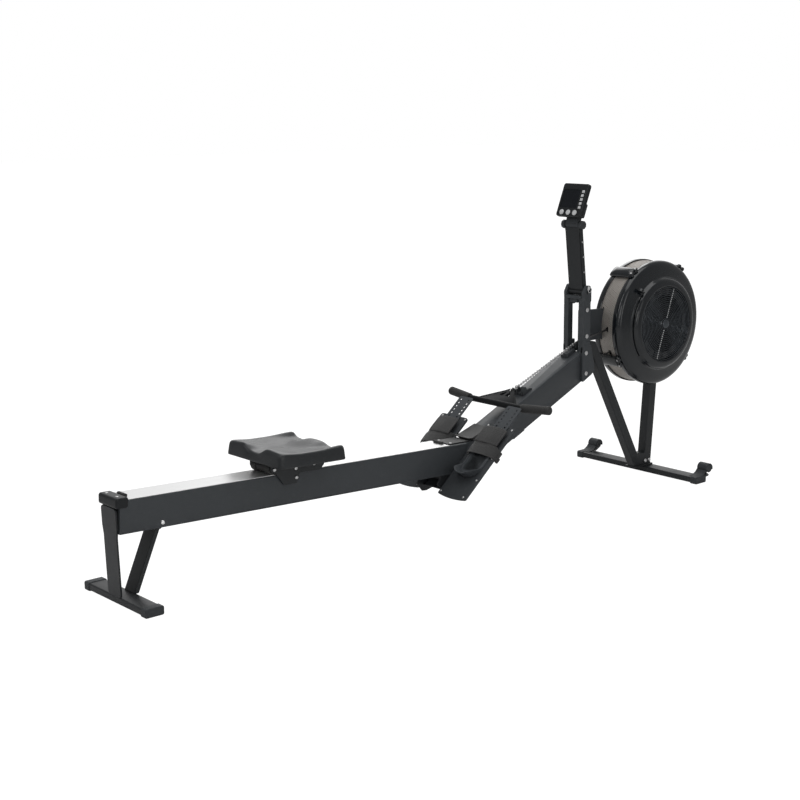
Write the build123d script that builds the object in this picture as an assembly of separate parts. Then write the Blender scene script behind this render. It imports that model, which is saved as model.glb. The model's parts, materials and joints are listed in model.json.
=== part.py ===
from build123d import *
from math import asin, atan, atan2, cos, degrees, radians, sin, tan
import os

# Air rowing machine. Millimetres, +Z up. While it is drawn, X runs from the rear face of the
# rear foot bar towards the flywheel, Y=0 is the middle of the rail and +Y is the rower's left.
# save() moves every node so that the origin is the middle of the footprint, on the floor.

# Rail and seat
RAIL_FALL = degrees(atan(0.0361))      # the rail drops towards the front
TRACK_Z0 = 324.6                       # top of the track above the rear foot
RAIL_WIDTH, RAIL_DEPTH, RAIL_WALL = 100.0, 101.5, 3.0
RAIL_START, RAIL_END = 5.5, 1380.0
TRACK_START, TRACK_END, TRACK_THICK = 35.0, 1299.0, 2.0
CAP_REAR, CAP_HALF_WIDTH, CAP_DROP, CAP_RISE, CAP_CORNER = -8.0, 52.5, 26.0, 7.0, 4.0
SEAT_X, SEAT_LENGTH, SEAT_WIDTH = 634.0, 256.0, 296.0
SEAT_BASE, CARRIAGE_PLATE = 44.0, 3.7
ROLLER_R, ROLLERS_AT, ROLLER_AXLE_R = 17.8, (-85.0, 70.0), 5.0
RUNNING_GAP = 0.06

# Feet and legs
REAR_FOOT_HALF, FRONT_FOOT_HALF = 177.0, 305.0
REAR_FOOT_DEPTH, FRONT_FOOT_X, FRONT_FOOT_DEPTH = 60.0, 2337.0, 59.0
FOOT_BASE, REAR_FOOT_TOP, FRONT_FOOT_TOP = 3.0, 26.0, 25.0
LEG_Y, LEG_HALF, LEG_BASE_REAR, LEG_BASE_TOP = -25.0, 20.0, 2286.0, 31.0
TRANSPORT_X, TRANSPORT_Z, TRANSPORT_R = 2420.0, 49.0, 15.0

# Main beam and post
BEAM_SLOPE, BEAM_X0, BEAM_TOP0, BEAM_UNDER0 = 0.457, 1845.0, 466.0, 350.0
BEAM_HALF, BEAM_WALL, BEAM_REAR, BEAM_FRONT = 40.0, 3.5, 1380.0, 2015.0
POST_REAR, POST_FRONT, POST_HALF, POST_TOP = 1969.0, 2010.0, 50.0, 722.0
POST_INNER_LEFT, POST_INNER_RIGHT = 27.0, -14.0

# Flywheel and its cage
AXLE_X, AXLE_Z, AXLE_R = 2395.0, 590.0, 8.5
BAND_R, BAND_LEFT, BAND_RIGHT, BAND_THICK = 238.5, 41.0, -31.0, 1.5
COVER_INNER, SADDLE_TOP = 51.0, 370.0
COVER_R, GRILLE_R = 241.0, 144.0
PLATE_Y, PLATE_THICK, HOUSING_R, BEARING_R = 27.0, 6.0, 26.0, 17.5
FAN_R, BLADES = 200.0, 20
SPROCKET_R, SPROCKET_TEETH = 28.0, 14
LEVER_ANGLE, LEVER_SWEEP, SPOKE_LEAN = 135.0, 80.0, 8.0

# Chain and handle
CHAIN_HALF_HEIGHT, CHAIN_HALF_WIDTH = 3.0, 3.5
GUIDE_X, GUIDE_Z, GUIDE_R = 1995.0, 538.4, 14.0
HANDLE_X, HANDLE_Z, HANDLE_TILT = 1566.0, 382.5, 21.0
BAR_R, BAR_BEND, GRIP_R, GRIP_LENGTH, GRIP_SWEEP = 11.0, 131.0, 15.5, 124.0, 9.0
SWIVEL_REACH = 104.0
GUIDE_PITCH_R = GUIDE_R + CHAIN_HALF_HEIGHT + 0.3
CHAIN_PITCH_R = SPROCKET_R + CHAIN_HALF_HEIGHT + 0.4
CORD_X, CORD_Z, CORD_POST_R, CORD_R, CORD_START, CORD_ANCHOR = 1640.0, 325.0, 13.0, 4.0, 1890.0, 1800.0
CORD_PITCH_R = CORD_POST_R + CORD_R + 0.3

# Footrests
BOARD_X, BOARD_Z, BOARD_TILT = 1239.0, 123.5, 40.8
BOARD_INNER, BOARD_OUTER, BOARD_LENGTH, BOARD_THICK = 51.5, 189.0, 318.0, 8.0
HEEL_Y, HEEL_R, HEEL_RIM, TONGUE_HALF, TONGUE_END, HOLE_PITCH = 122.0, 42.0, 44.0, 34.0, 403.0, 15.6

# Monitor
ARM_X, ARM_Z, ARM_LEAN, ARM_HALF, ARM_HEIGHT, PIN_R = 1991.0, 744.0, 6.4, 35.0, 251.6, 5.0
MONITOR_X = ARM_X - ARM_HEIGHT * sin(radians(ARM_LEAN))
MONITOR_Z = ARM_Z + ARM_HEIGHT * cos(radians(ARM_LEAN))
MONITOR_TILT = 22.0
FACE_X, FACE_LOW, FACE_HIGH, FACE_HALF, CASE_BACK = -43.0, 17.5, 144.0, 60.0, -27.0
SCREEN_Y, SCREEN_Z = (-30.0, 50.0), (50.0, 120.0)
BUTTON_R, BUTTON_Z, BUTTON_YS = 10.0, 32.5, (35.0, 3.5, -28.0)
KEY_Y, KEY_LOW, KEY_STEP, KEY_COUNT, KEY_HALF_Y, KEY_HALF_Z = -44.0, 53.0, 15.0, 5, 6.0, 5.0
LOCK_PLACE, LOCK_R, LOCK_SWING = (3.0, 16.8), 3.0, 17.07

FALL = radians(RAIL_FALL)
REAR_LIMIT = (CAP_REAR + CAP_CORNER) * cos(FALL) + (CAP_CORNER - CAP_DROP) * sin(FALL) - CAP_CORNER
FRONT_LIMIT = AXLE_X + COVER_R
MIDDLE_X = (REAR_LIMIT + FRONT_LIMIT) / 2


def box(x, y, z):
    """A block given by its low and high limit on each axis."""
    limits = [sorted(pair) for pair in (x, y, z)]
    centre = [(low + high) / 2 for low, high in limits]
    return Pos(*centre) * Box(*[high - low for low, high in limits])


def rod(start, end, radius):
    """A cylinder from one point to another."""
    line = Vector(*end) - Vector(*start)
    cylinder = Cylinder(radius, line.length, align=(Align.CENTER, Align.CENTER, Align.MIN))
    return Plane(origin=start, z_dir=line) * cylinder


def y_rod(x, z, radius, y):
    return rod((x, min(y), z), (x, max(y), z), radius)


def y_ring(x, z, outer, inner, y):
    return y_rod(x, z, outer, y) - y_rod(x, z, inner, (min(y) - 1, max(y) + 1))


def side_prism(points, y):
    """A side outline in X and Z, pulled across between two Y values."""
    plane = Plane(origin=(0, min(y), 0), x_dir=(1, 0, 0), z_dir=(0, -1, 0))
    return extrude(plane * make_face(Polyline(*points, close=True)), max(y) - min(y), dir=(0, 1, 0))


def end_prism(points, x):
    """An end outline in Y and Z, pulled along between two X values."""
    plane = Plane(origin=(min(x), 0, 0), x_dir=(0, 1, 0), z_dir=(1, 0, 0))
    return extrude(plane * make_face(Polyline(*points, close=True)), max(x) - min(x), dir=(1, 0, 0))


def top_prism(points, z):
    """A plan outline in X and Y, pulled up between two Z values."""
    return extrude(Pos(0, 0, min(z)) * make_face(Polyline(*points, close=True)), max(z) - min(z))


def x_tube(x, width, z, wall, radius):
    """A rounded box tube that runs along X."""
    middle, height = sum(z) / 2, max(z) - min(z)
    plane = Plane(origin=(min(x), 0, middle), x_dir=(0, 1, 0), z_dir=(1, 0, 0))
    outline = RectangleRounded(width, height, radius)
    hollow = Rectangle(width - 2 * wall, height - 2 * wall)
    return extrude(plane * (outline - hollow), max(x) - min(x))


def y_tube(x, z, y, wall, radius):
    """A rounded box tube that runs along Y."""
    plane = Plane(origin=(sum(x) / 2, min(y), sum(z) / 2), x_dir=(1, 0, 0), z_dir=(0, -1, 0))
    outline = RectangleRounded(max(x) - min(x), max(z) - min(z), radius)
    hollow = Rectangle(max(x) - min(x) - 2 * wall, max(z) - min(z) - 2 * wall)
    return extrude(plane * (outline - hollow), max(y) - min(y), dir=(0, 1, 0))


def leg_tube(low, high, depth, y_middle, half_width, z):
    """A rectangular tube along a slanted line in X and Z, cut level at two heights."""
    line = Vector(high[0] - low[0], 0, high[1] - low[1])
    plane = Plane(origin=(low[0], y_middle, low[1]), x_dir=(0, 1, 0), z_dir=line)
    section = RectangleRounded(2 * half_width, depth, 5) - Rectangle(2 * half_width - 6, depth - 6)
    tube = extrude(plane * section, 2 * line.length, both=True)
    return tube & box((low[0] - 900, low[0] + 900), (-200, 200), z)


def turned(points, x, z):
    """A profile of radius and Y, turned about an axle that runs across the machine."""
    profile = Pos(x, 0, z) * make_face(Polyline(*points, close=True))
    return revolve(profile, Axis((x, 0, z), (0, 1, 0)))


def both_sides(make):
    """The left and right copy of a part that is drawn on the left."""
    left = make()
    return [left, mirror(left, about=Plane.XZ)]


def on_rail(shape):
    """From the rail's own frame, X along the track and Z=0 on it."""
    return Pos(0, 0, TRACK_Z0) * Rot(0, RAIL_FALL, 0) * shape


def on_board(shape):
    """From a footboard's own frame, X up the board and Z out of its face."""
    return Pos(BOARD_X, 0, BOARD_Z) * Rot(0, -BOARD_TILT, 0) * shape


def on_handle(shape):
    return Pos(HANDLE_X, 0, HANDLE_Z) * Rot(0, -HANDLE_TILT, 0) * shape


def on_arm(shape):
    return Pos(ARM_X, 0, ARM_Z) * Rot(0, -ARM_LEAN, 0) * shape


def on_monitor(shape):
    return Pos(MONITOR_X, 0, MONITOR_Z) * Rot(0, MONITOR_TILT, 0) * shape


def beam_top(x):
    return BEAM_TOP0 + BEAM_SLOPE * (x - BEAM_X0)


def beam_under(x):
    return BEAM_UNDER0 + BEAM_SLOPE * (x - BEAM_X0)


def rail_top(x):
    return TRACK_Z0 - TRACK_THICK - tan(radians(RAIL_FALL)) * x


def save(name, *shapes):
    """Write one node, made of one solid or of several separate ones."""
    moved = [Pos(-MIDDLE_X, 0, 0) * shape for shape in shapes]
    node = moved[0] if len(moved) == 1 else Compound(children=moved)
    export_step(node, f"parts/{name}.step")


# ---- rear foot and rail ----

def rear_foot_bar():
    half = REAR_FOOT_HALF - 7
    return y_tube((0, REAR_FOOT_DEPTH), (FOOT_BASE, REAR_FOOT_TOP), (-half, half), 2.5, 5)


def front_foot_bar():
    half = FRONT_FOOT_HALF - 9
    x = (FRONT_FOOT_X, FRONT_FOOT_X + FRONT_FOOT_DEPTH)
    return y_tube(x, (FOOT_BASE, FRONT_FOOT_TOP), (-half, half), 2.5, 5)


def rear_cap():
    """A rubber shoe over the left end of the rear bar."""
    inner = REAR_FOOT_HALF - 7
    shoe = box((-2, REAR_FOOT_DEPTH + 2), (inner - 20, REAR_FOOT_HALF), (0, REAR_FOOT_TOP + 2))
    shoe = fillet(shoe.edges().filter_by(Axis.Y), 5)
    return shoe - box((0, REAR_FOOT_DEPTH), (inner - 30, inner), (FOOT_BASE, REAR_FOOT_TOP))


def front_cap():
    """The left end cap of the front bar, with the curled fender over its transport wheel."""
    inner = FRONT_FOOT_HALF - 9
    front = FRONT_FOOT_X + FRONT_FOOT_DEPTH
    shoe = box((FRONT_FOOT_X - 2, front + 2), (inner - 20, FRONT_FOOT_HALF), (0, FRONT_FOOT_TOP + 2))
    shoe = fillet(shoe.edges().filter_by(Axis.Y), 5)
    shoe -= box((FRONT_FOOT_X, front), (inner - 30, inner), (FOOT_BASE, FRONT_FOOT_TOP))
    span = (FRONT_FOOT_HALF - 48, FRONT_FOOT_HALF - 2)
    curl = y_ring(TRANSPORT_X, TRANSPORT_Z, TRANSPORT_R + 7.5, TRANSPORT_R + 4, span)
    reach = TRANSPORT_R + 12
    curl -= box((TRANSPORT_X - 3, TRANSPORT_X + reach), (0, 400), (0, TRANSPORT_Z + 2))
    curl -= box((TRANSPORT_X - reach, TRANSPORT_X), (0, 400), (0, TRANSPORT_Z - 12))
    toe = side_prism([(FRONT_FOOT_X + 10, FRONT_FOOT_TOP + 2), (front, FRONT_FOOT_TOP + 2),
                      (TRANSPORT_X - 19.5, TRANSPORT_Z - 11), (TRANSPORT_X - 21, TRANSPORT_Z + 6)], span)
    cheek = side_prism([(front - 12, FRONT_FOOT_TOP + 2), (TRANSPORT_X - 4, FRONT_FOOT_TOP),
                        (TRANSPORT_X + 8, TRANSPORT_Z), (TRANSPORT_X, TRANSPORT_Z + 21),
                        (TRANSPORT_X - 19, TRANSPORT_Z + 8)], (span[0], span[0] + 4))
    outer_cheek = Pos(0, span[1] - span[0] - 4, 0) * cheek
    pin = y_rod(TRANSPORT_X, TRANSPORT_Z, 4, (span[0] - 3, span[1] + 2))
    return shoe + curl + toe + cheek + outer_cheek + pin


def transport_wheel(side):
    span = (FRONT_FOOT_HALF - 43.6, FRONT_FOOT_HALF - 6.4)
    wheel = y_ring(TRANSPORT_X, TRANSPORT_Z, TRANSPORT_R, 4 + RUNNING_GAP, span)
    wheel = fillet(wheel.edges().filter_by(GeomType.CIRCLE).sort_by(SortBy.RADIUS)[-2:], 2)
    return wheel if side > 0 else mirror(wheel, about=Plane.XZ)


def rear_upright():
    """The steel plate that closes the end of the rail and stands on the rear bar, leaning back."""
    top, low = 298.0, REAR_FOOT_TOP
    outline = [(-42, top), (-42, 236), (-37, 205), (-37, low), (37, low), (37, 205), (42, 236), (42, top)]
    plate = end_prism(outline, (-40, 40))
    lean = [(1, low - 5), (7, low - 5), (-1, top + 5), (-7, top + 5)]
    return plate & side_prism(lean, (-60, 60))


def rail_envelope():
    return on_rail(box((-60, RAIL_END), (-60, 60), (-TRACK_THICK - RAIL_DEPTH, 60)))


def rear_brace():
    """The flat brace in front of the upright, with the plate that it is welded to under the rail."""
    low = -TRACK_THICK - RAIL_DEPTH
    brace = leg_tube((58.7, REAR_FOOT_TOP), (135.2, 200), 15, 0, 30, (REAR_FOOT_TOP, 260))
    brace = brace & box((-100, 400), (-60, 60), (REAR_FOOT_TOP, 400))
    return brace - rail_envelope() + on_rail(box((96, 172), (-32, 32), (low - 4, low)))


def rail_beam():
    """The hollow rail, with a fine bead along its lower edges."""
    depth = (-TRACK_THICK - RAIL_DEPTH, -TRACK_THICK)
    rail = x_tube((RAIL_START, RAIL_END), RAIL_WIDTH, depth, RAIL_WALL, 3)
    for side in (-1, 1):
        edge = side * RAIL_WIDTH / 2
        rail += box((RAIL_START + 8, RAIL_END), (edge - side, edge + side), (depth[0] + 1, depth[0] + 5))
    return on_rail(rail)


def rail_track():
    """The steel strip that the seat rolls on."""
    half = RAIL_WIDTH / 2 - 1.5
    return on_rail(box((TRACK_START, TRACK_END), (-half, half), (-TRACK_THICK, 0)))


def rail_end_cap():
    cap = box((CAP_REAR, TRACK_START - 1), (-CAP_HALF_WIDTH, CAP_HALF_WIDTH), (-CAP_DROP, CAP_RISE))
    cap = fillet(cap.edges().filter_by(Axis.Y) + cap.edges().filter_by(Axis.Z), CAP_CORNER)
    half = RAIL_WIDTH / 2
    return on_rail(cap - box((RAIL_START, 90), (-half, half), (-CAP_DROP - 1, -TRACK_THICK)))


def seat_stop(x):
    stop = box((x, x + 12), (-20, 20), (0, 9))
    return on_rail(fillet(stop.edges().filter_by(Axis.Y).sort_by(Axis.Z)[-2:], 4))


def joint_cover_plate():
    """The flat cover over the end of the rail, and the hood over the knee of the main beam."""
    level = rail_top(BEAM_REAR)
    corner = BEAM_X0 + (level - BEAM_TOP0) / BEAM_SLOPE
    cover = [(1306, rail_top(1306)), (BEAM_REAR, level), (1410, level), (1406, level + 4),
             (BEAM_REAR, level + 5), (1334, rail_top(1334) + 5), (1306, rail_top(1306) + 4)]
    hood = [(1420, level), (corner, level), (1502, beam_top(1502)), (1498, beam_top(1498) + 4),
            (corner - 6, level + 12), (1398, level + 13), (1398, level + 9.5), (1420, level + 9)]
    return [side_prism(cover, (-37, 37)), side_prism(hood, (-39, 39))]


# ---- main beam, post and flywheel plate ----

def beam_outline(inset):
    """Side outline of the beam, or of its hollow when inset is above zero."""
    low, high = rail_top(BEAM_REAR) - RAIL_DEPTH + inset, rail_top(BEAM_REAR) - inset
    lift = inset / cos(atan(BEAM_SLOPE))
    ends = (BEAM_REAR, BEAM_FRONT) if inset == 0 else (BEAM_REAR + inset, BEAM_FRONT + 60)
    knee = BEAM_X0 + (low - BEAM_UNDER0 - lift) / BEAM_SLOPE
    crown = BEAM_X0 + (high - BEAM_TOP0 + lift) / BEAM_SLOPE
    return [(ends[0], low), (knee, low), (ends[1], beam_under(ends[1]) + lift),
            (ends[1], beam_top(ends[1]) - lift), (crown, high), (ends[0], high)]


def main_beam():
    """The rising box beam, open at the post for the chain."""
    shell = side_prism(beam_outline(0), (-BEAM_HALF, BEAM_HALF))
    long_edges = shell.edges().filter_by(lambda edge: abs(edge.tangent_at(0).Y) < 0.01)
    shell = fillet(long_edges.sort_by(SortBy.LENGTH)[-4:], 6)
    inner = BEAM_HALF - BEAM_WALL
    shell -= side_prism(beam_outline(BEAM_WALL), (-inner, inner))
    return shell - box((1968, 2060), (POST_INNER_RIGHT, POST_INNER_LEFT), (beam_top(1968) - 12, 600))


def post_plates():
    """The two post uprights, which reach down beside the beam, and the block between their tops."""
    cheek = [(POST_REAR, beam_under(POST_REAR) + 2), (2018, 433), (2034, 446), (2034, 472), (2014, 548),
             (POST_REAR, 548)]
    column = [(POST_REAR, beam_top(POST_REAR)), (POST_FRONT, beam_top(POST_FRONT)),
              (POST_FRONT, POST_TOP), (POST_REAR, POST_TOP)]
    ear = [(1971, POST_TOP - 12), (2012, POST_TOP - 12), (2012, 754), (2005, 770), (1984, 770), (1969, 744)]
    plates = []
    for side, inner in ((1, POST_INNER_LEFT), (-1, POST_INNER_RIGHT)):
        y = (inner, side * POST_HALF)
        plate = side_prism(column, y)
        plate -= box((POST_REAR + 4, POST_FRONT - 4), (inner + side * 4, side * (POST_HALF - 4)), (560, 700))
        plate += side_prism(cheek, (side * (BEAM_HALF + 0.2), side * POST_HALF))
        plate += side_prism(ear, (side * 38, side * POST_HALF))
        plate -= y_rod(ARM_X, ARM_Z, PIN_R, (side * 30, side * 60))
        plates.append(plate - on_arm(lock_hole()))
    head = box((POST_REAR - 2, 2006), (-37.7, 37.7), (POST_TOP, 732))
    head += box((1974, 2005), (POST_INNER_RIGHT, POST_INNER_LEFT), (705, POST_TOP))
    return plates + [head]


def chain_guide():
    """The black ramp on the beam that keeps the chain in the post."""
    points = [(1925, beam_top(1925)), (1966, beam_top(1966)), (1966, 535), (1950, 529), (1925, 518)]
    return side_prism(points, (-13.5, 20.5))


def flywheel_plate():
    """The steel side plate from the post to the axle, with the bearing housing and the leg's saddle."""
    y = (PLATE_Y, PLATE_Y + PLATE_THICK)
    plate = side_prism([(POST_FRONT, 545), (POST_FRONT, 668), (2150, 662), (AXLE_X, AXLE_Z + 44),
                        (AXLE_X, AXLE_Z - 44), (2150, 545)], y)
    plate += y_rod(AXLE_X, AXLE_Z, 46, y)
    plate += box((2372, 2404), y, (SADDLE_TOP - 6, AXLE_Z - 20))
    plate += box((2368, 2408), (LEG_Y - LEG_HALF, PLATE_Y + PLATE_THICK), (SADDLE_TOP - 6, SADDLE_TOP))
    for angle in (30, 150, 270):
        x, z = AXLE_X + 38 * cos(radians(angle)), AXLE_Z + 38 * sin(radians(angle))
        plate += y_rod(x, z, 5, (PLATE_Y, COVER_INNER))
    plate += y_rod(AXLE_X, AXLE_Z, HOUSING_R, (6, 39))
    plate -= y_rod(AXLE_X, AXLE_Z, 12, (0, 70))
    return plate - y_rod(AXLE_X, AXLE_Z, BEARING_R, (0, 17)) - y_rod(AXLE_X, AXLE_Z, BEARING_R, (28, 70))


def axle_bearings():
    return [y_ring(AXLE_X, AXLE_Z, BEARING_R, AXLE_R + RUNNING_GAP, y) for y in ((7, 17), (28, 38))]


def rear_leg():
    """The slanted leg from the front foot up to the post."""
    z = (LEG_BASE_TOP, 556)
    leg = leg_tube((2310, 40), (2110, 404), 37.5, LEG_Y, LEG_HALF, z)
    keep_clear = side_prism([(1900, 300), (2036, 300), (2036, 472), (2014, 556), (1900, 556)], (-60, 60))
    return leg - front_leg_space() - keep_clear


def front_leg_space():
    return side_prism([(2340, FRONT_FOOT_TOP), (2386, FRONT_FOOT_TOP), (2412, 380), (2366, 380)],
                      (LEG_Y - LEG_HALF - 1, LEG_Y + LEG_HALF + 1))


def front_leg():
    """The upright leg under the cage, with the base plate that both legs stand on."""
    top = SADDLE_TOP - 6
    leg = leg_tube((2363, FRONT_FOOT_TOP), (2389, 352), 40, LEG_Y, LEG_HALF, (FRONT_FOOT_TOP, top))
    base = box((LEG_BASE_REAR, 2392), (LEG_Y - 30, LEG_Y + 30), (FRONT_FOOT_TOP, LEG_BASE_TOP))
    return leg + base


def frame_bolts():
    """Hexagon and button head bolts, the arm's pivot bolt and the cord post inside the beam."""
    bolts = []
    for x, z in ((1990, 680), (1990, 582), (1988, 519), (1989, 442)):
        for side in (-1, 1):
            bolts.append(y_rod(x, z, 6, (side * POST_HALF, side * (POST_HALF + 4))))
    for x in (2350, 2376):
        bolts.append(rod((x, LEG_Y - LEG_HALF - 4, 45), (x, LEG_Y - LEG_HALF, 45), 4.5))
    for y in (-30, 30):
        bolts.append(on_rail(rod((8, y, CAP_RISE), (8, y, CAP_RISE + 2), 5)))
        bolts.append(rod((1320, y, rail_top(1320) + 4.6), (1320, y, rail_top(1320) + 7), 4.5))
    for side in (-1, 1):
        bolts.append(y_rod(145, 232, 6, (side * (RAIL_WIDTH / 2), side * (RAIL_WIDTH / 2 + 4))))
    bolts.append(y_rod(ARM_X, ARM_Z, PIN_R, (-POST_HALF, POST_HALF)))
    bolts.append(y_rod(GUIDE_X, GUIDE_Z, 4, (POST_INNER_RIGHT, POST_INNER_LEFT)))
    inner = BEAM_HALF - BEAM_WALL
    bolts.append(y_rod(CORD_X, CORD_Z, CORD_POST_R, (-inner, inner)))
    return bolts


# ---- legs' far end: cage, flywheel, chain ----

def cage_left_cover():
    """The closed cover on the rower's left."""
    inner = BAND_R - 1.5
    profile = [(0, 51), (228, 51), (inner, 46), (inner, BAND_LEFT - 1), (BAND_R, BAND_LEFT - 1),
               (COVER_R, BAND_LEFT + 1), (COVER_R, 51), (239, 54.5), (232, 56), (0, 56)]
    return turned(profile, AXLE_X, AXLE_Z)


def leg_slot():
    """The way into the cage for the front leg and the saddle over it."""
    return box((2363, 2413), (LEG_Y - LEG_HALF - 1, LEG_Y + LEG_HALF + 1), (340, SADDLE_TOP + 3))


def cage_band():
    """The band of perforated steel between the covers, with its ways in."""
    outer = BAND_R - 2.1
    band = y_ring(AXLE_X, AXLE_Z, outer, outer - BAND_THICK, (BAND_RIGHT - 4, BAND_LEFT + 3))
    for z in (582.5, 490):
        band -= box((AXLE_X - 300, AXLE_X), (-7, 7), (z - 12, z + 12))
    band -= box((AXLE_X - 300, AXLE_X), (PLATE_Y - 1, PLATE_Y + PLATE_THICK + 1), (536, 672))
    return band - leg_slot()


def cage_right_cover():
    """The stepped cover on the open side, with the slot of the damper lever."""
    outer = [(BAND_R, BAND_RIGHT), (COVER_R, -33), (COVER_R, -50), (238, -56), (229, -61), (180, -70),
             (174, -84), (166, -91), (150, -94), (GRILLE_R + 0.5, -91.5), (GRILLE_R + 0.5, -83)]
    inner = [(147.5, -83), (147.5, -90), (150.5, -91), (164, -88), (171, -82), (177, -67.5),
             (227, -58), (235.5, -53.5), (238.3, -48.5), (236.9, BAND_RIGHT)]
    cover = turned(outer + inner, AXLE_X, AXLE_Z)
    spare = 6
    slot = [(160, -80.5), (190, -80.5), (190, -74.5), (160, -74.5)]
    slot = Pos(AXLE_X, 0, AXLE_Z) * make_face(Polyline(*slot, close=True))
    axis = Axis((AXLE_X, 0, AXLE_Z), (0, 1, 0))
    slot = slot.rotate(axis, -(LEVER_ANGLE + LEVER_SWEEP + spare))
    return cover - revolve(slot, axis, LEVER_SWEEP + 2 * spare) - leg_slot()


def cage_clamps():
    """Bridges over the band that hold the two covers together."""
    clamps = []
    for angle, half in ((128, 19), (212, 19), (50, 14), (-40, 14)):
        block = box((BAND_R + 3, BAND_R + 10), (BAND_RIGHT - 12, BAND_LEFT + 4), (-half, half))
        block += box((BAND_R + 3, BAND_R + 14), (BAND_RIGHT - 15, BAND_RIGHT - 3), (-half / 2, half / 2))
        clamps.append(Pos(AXLE_X, 0, AXLE_Z) * Rot(0, -angle, 0) * block)
    return clamps


def intake_grille():
    """Fine rings over the air intake on two upright spokes, with a plain cap in the middle."""
    y = (-91, -87)
    grille = y_rod(AXLE_X, AXLE_Z, 18, (-94, -87))
    for step in range(14):
        inner = 24 + 9 * step
        grille += y_ring(AXLE_X, AXLE_Z, inner + 2.2, inner, y)
    spoke = box((-2, 2), y, (-GRILLE_R, GRILLE_R))
    grille += Pos(AXLE_X, 0, AXLE_Z) * Rot(0, SPOKE_LEAN, 0) * spoke
    return grille & y_rod(AXLE_X, AXLE_Z, GRILLE_R, (-95, -86))


def damper():
    """The air shutter behind the grille and the lever that turns it."""
    y = (-79.5, -76.5)
    ring = y_ring(AXLE_X, AXLE_Z, 140, 112, y)
    lever = box((138, 207), y, (-6, 6)) + box((190, 207), (-92, -76.5), (-6, 6))
    return ring + Pos(AXLE_X, 0, AXLE_Z) * Rot(0, -LEVER_ANGLE, 0) * lever


def flywheel():
    """The fan: a steel disc with a heavy rim and blades set on edge."""
    wheel = y_ring(AXLE_X, AXLE_Z, 20, AXLE_R, (-72, -9))
    wheel += y_ring(AXLE_X, AXLE_Z, FAN_R, 15, (-46, -43))
    wheel += y_ring(AXLE_X, AXLE_Z, FAN_R + 4, FAN_R - 12, (-50, -39))
    for step in range(BLADES):
        blade = box((95, FAN_R - 4), (-58, -14), (-1.2, 1.2))
        wheel += Pos(AXLE_X, 0, AXLE_Z) * Rot(0, step * 360 / BLADES, 0) * blade
    return wheel


def sprocket():
    """The chain wheel on its one-way clutch."""
    wheel = y_rod(AXLE_X, AXLE_Z, SPROCKET_R - 3, (-3, 3)) + y_rod(AXLE_X, AXLE_Z, 14, (-7, 5))
    for step in range(SPROCKET_TEETH):
        tooth = top_prism([(SPROCKET_R - 5, -3), (SPROCKET_R, -1), (SPROCKET_R, 1), (SPROCKET_R - 5, 3)], (-1.4, 1.4))
        turn = Rot(0, step * 360 / SPROCKET_TEETH, 0) * Rot(90, 0, 0)
        wheel += Pos(AXLE_X, 0, AXLE_Z) * turn * tooth
    return wheel - y_rod(AXLE_X, AXLE_Z, AXLE_R + RUNNING_GAP, (-10, 10))


def guide_roller():
    """The flanged roller under the chain at the foot of the post."""
    roller = y_rod(GUIDE_X, GUIDE_Z, GUIDE_R, (-4.5, 4.5))
    for y in ((-6.5, -4.5), (4.5, 6.5)):
        roller += y_rod(GUIDE_X, GUIDE_Z, GUIDE_R + 3, y)
    return roller - y_rod(GUIDE_X, GUIDE_Z, 4 + RUNNING_GAP, (-10, 10))


def chain_bar(start, end):
    """A straight run of chain between two points of its pitch line."""
    line = Vector(end[0] - start[0], 0, end[1] - start[1])
    plane = Plane(origin=(start[0], 0, start[1]), x_dir=(0, 1, 0), z_dir=line)
    return extrude(plane * Rectangle(2 * CHAIN_HALF_WIDTH, 2 * CHAIN_HALF_HEIGHT), line.length)


def chain_wrap(x, z, radius, start_angle, sweep):
    """A run of chain round a wheel; angles are counted from +X towards +Z."""
    low, high, half = radius - CHAIN_HALF_HEIGHT, radius + CHAIN_HALF_HEIGHT, CHAIN_HALF_WIDTH
    section = make_face(Polyline((low, -half), (high, -half), (high, half), (low, half), close=True))
    axis = Axis((x, 0, z), (0, 1, 0))
    turned_section = (Pos(x, 0, z) * section).rotate(axis, -(start_angle + sweep))
    return revolve(turned_section, axis, sweep)


def tangent(x, z, radius, angle):
    """The point of a wheel's pitch circle at an angle counted from +X towards +Z."""
    return (x + radius * cos(radians(angle)), z + radius * sin(radians(angle)))


def swivel_point():
    turn = radians(HANDLE_TILT)
    return (HANDLE_X + SWIVEL_REACH * cos(turn), HANDLE_Z + SWIVEL_REACH * sin(turn))


def top_run_angle():
    reach = Vector(AXLE_X - GUIDE_X, AXLE_Z - GUIDE_Z)
    spread = asin((CHAIN_PITCH_R - GUIDE_PITCH_R) / reach.length)
    return degrees(atan2(reach.Y, reach.X) + spread)


def low_run_angle():
    reach = Vector(AXLE_X - CORD_X, AXLE_Z - CORD_Z)
    spread = asin((CHAIN_PITCH_R + CORD_PITCH_R) / reach.length)
    return degrees(atan2(reach.Y, reach.X) - spread)


def pull_angle():
    """The slope of the chain between the handle and the guide roller."""
    x, z = swivel_point()
    reach = Vector(GUIDE_X - x, GUIDE_Z - z)
    return degrees(atan2(reach.Y, reach.X) + asin(GUIDE_PITCH_R / reach.length))


def chain_pull():
    """The run of chain outside the machine, from the swivel to the guide roller."""
    return chain_bar(swivel_point(), tangent(GUIDE_X, GUIDE_Z, GUIDE_PITCH_R, 90 + pull_angle()))


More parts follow.
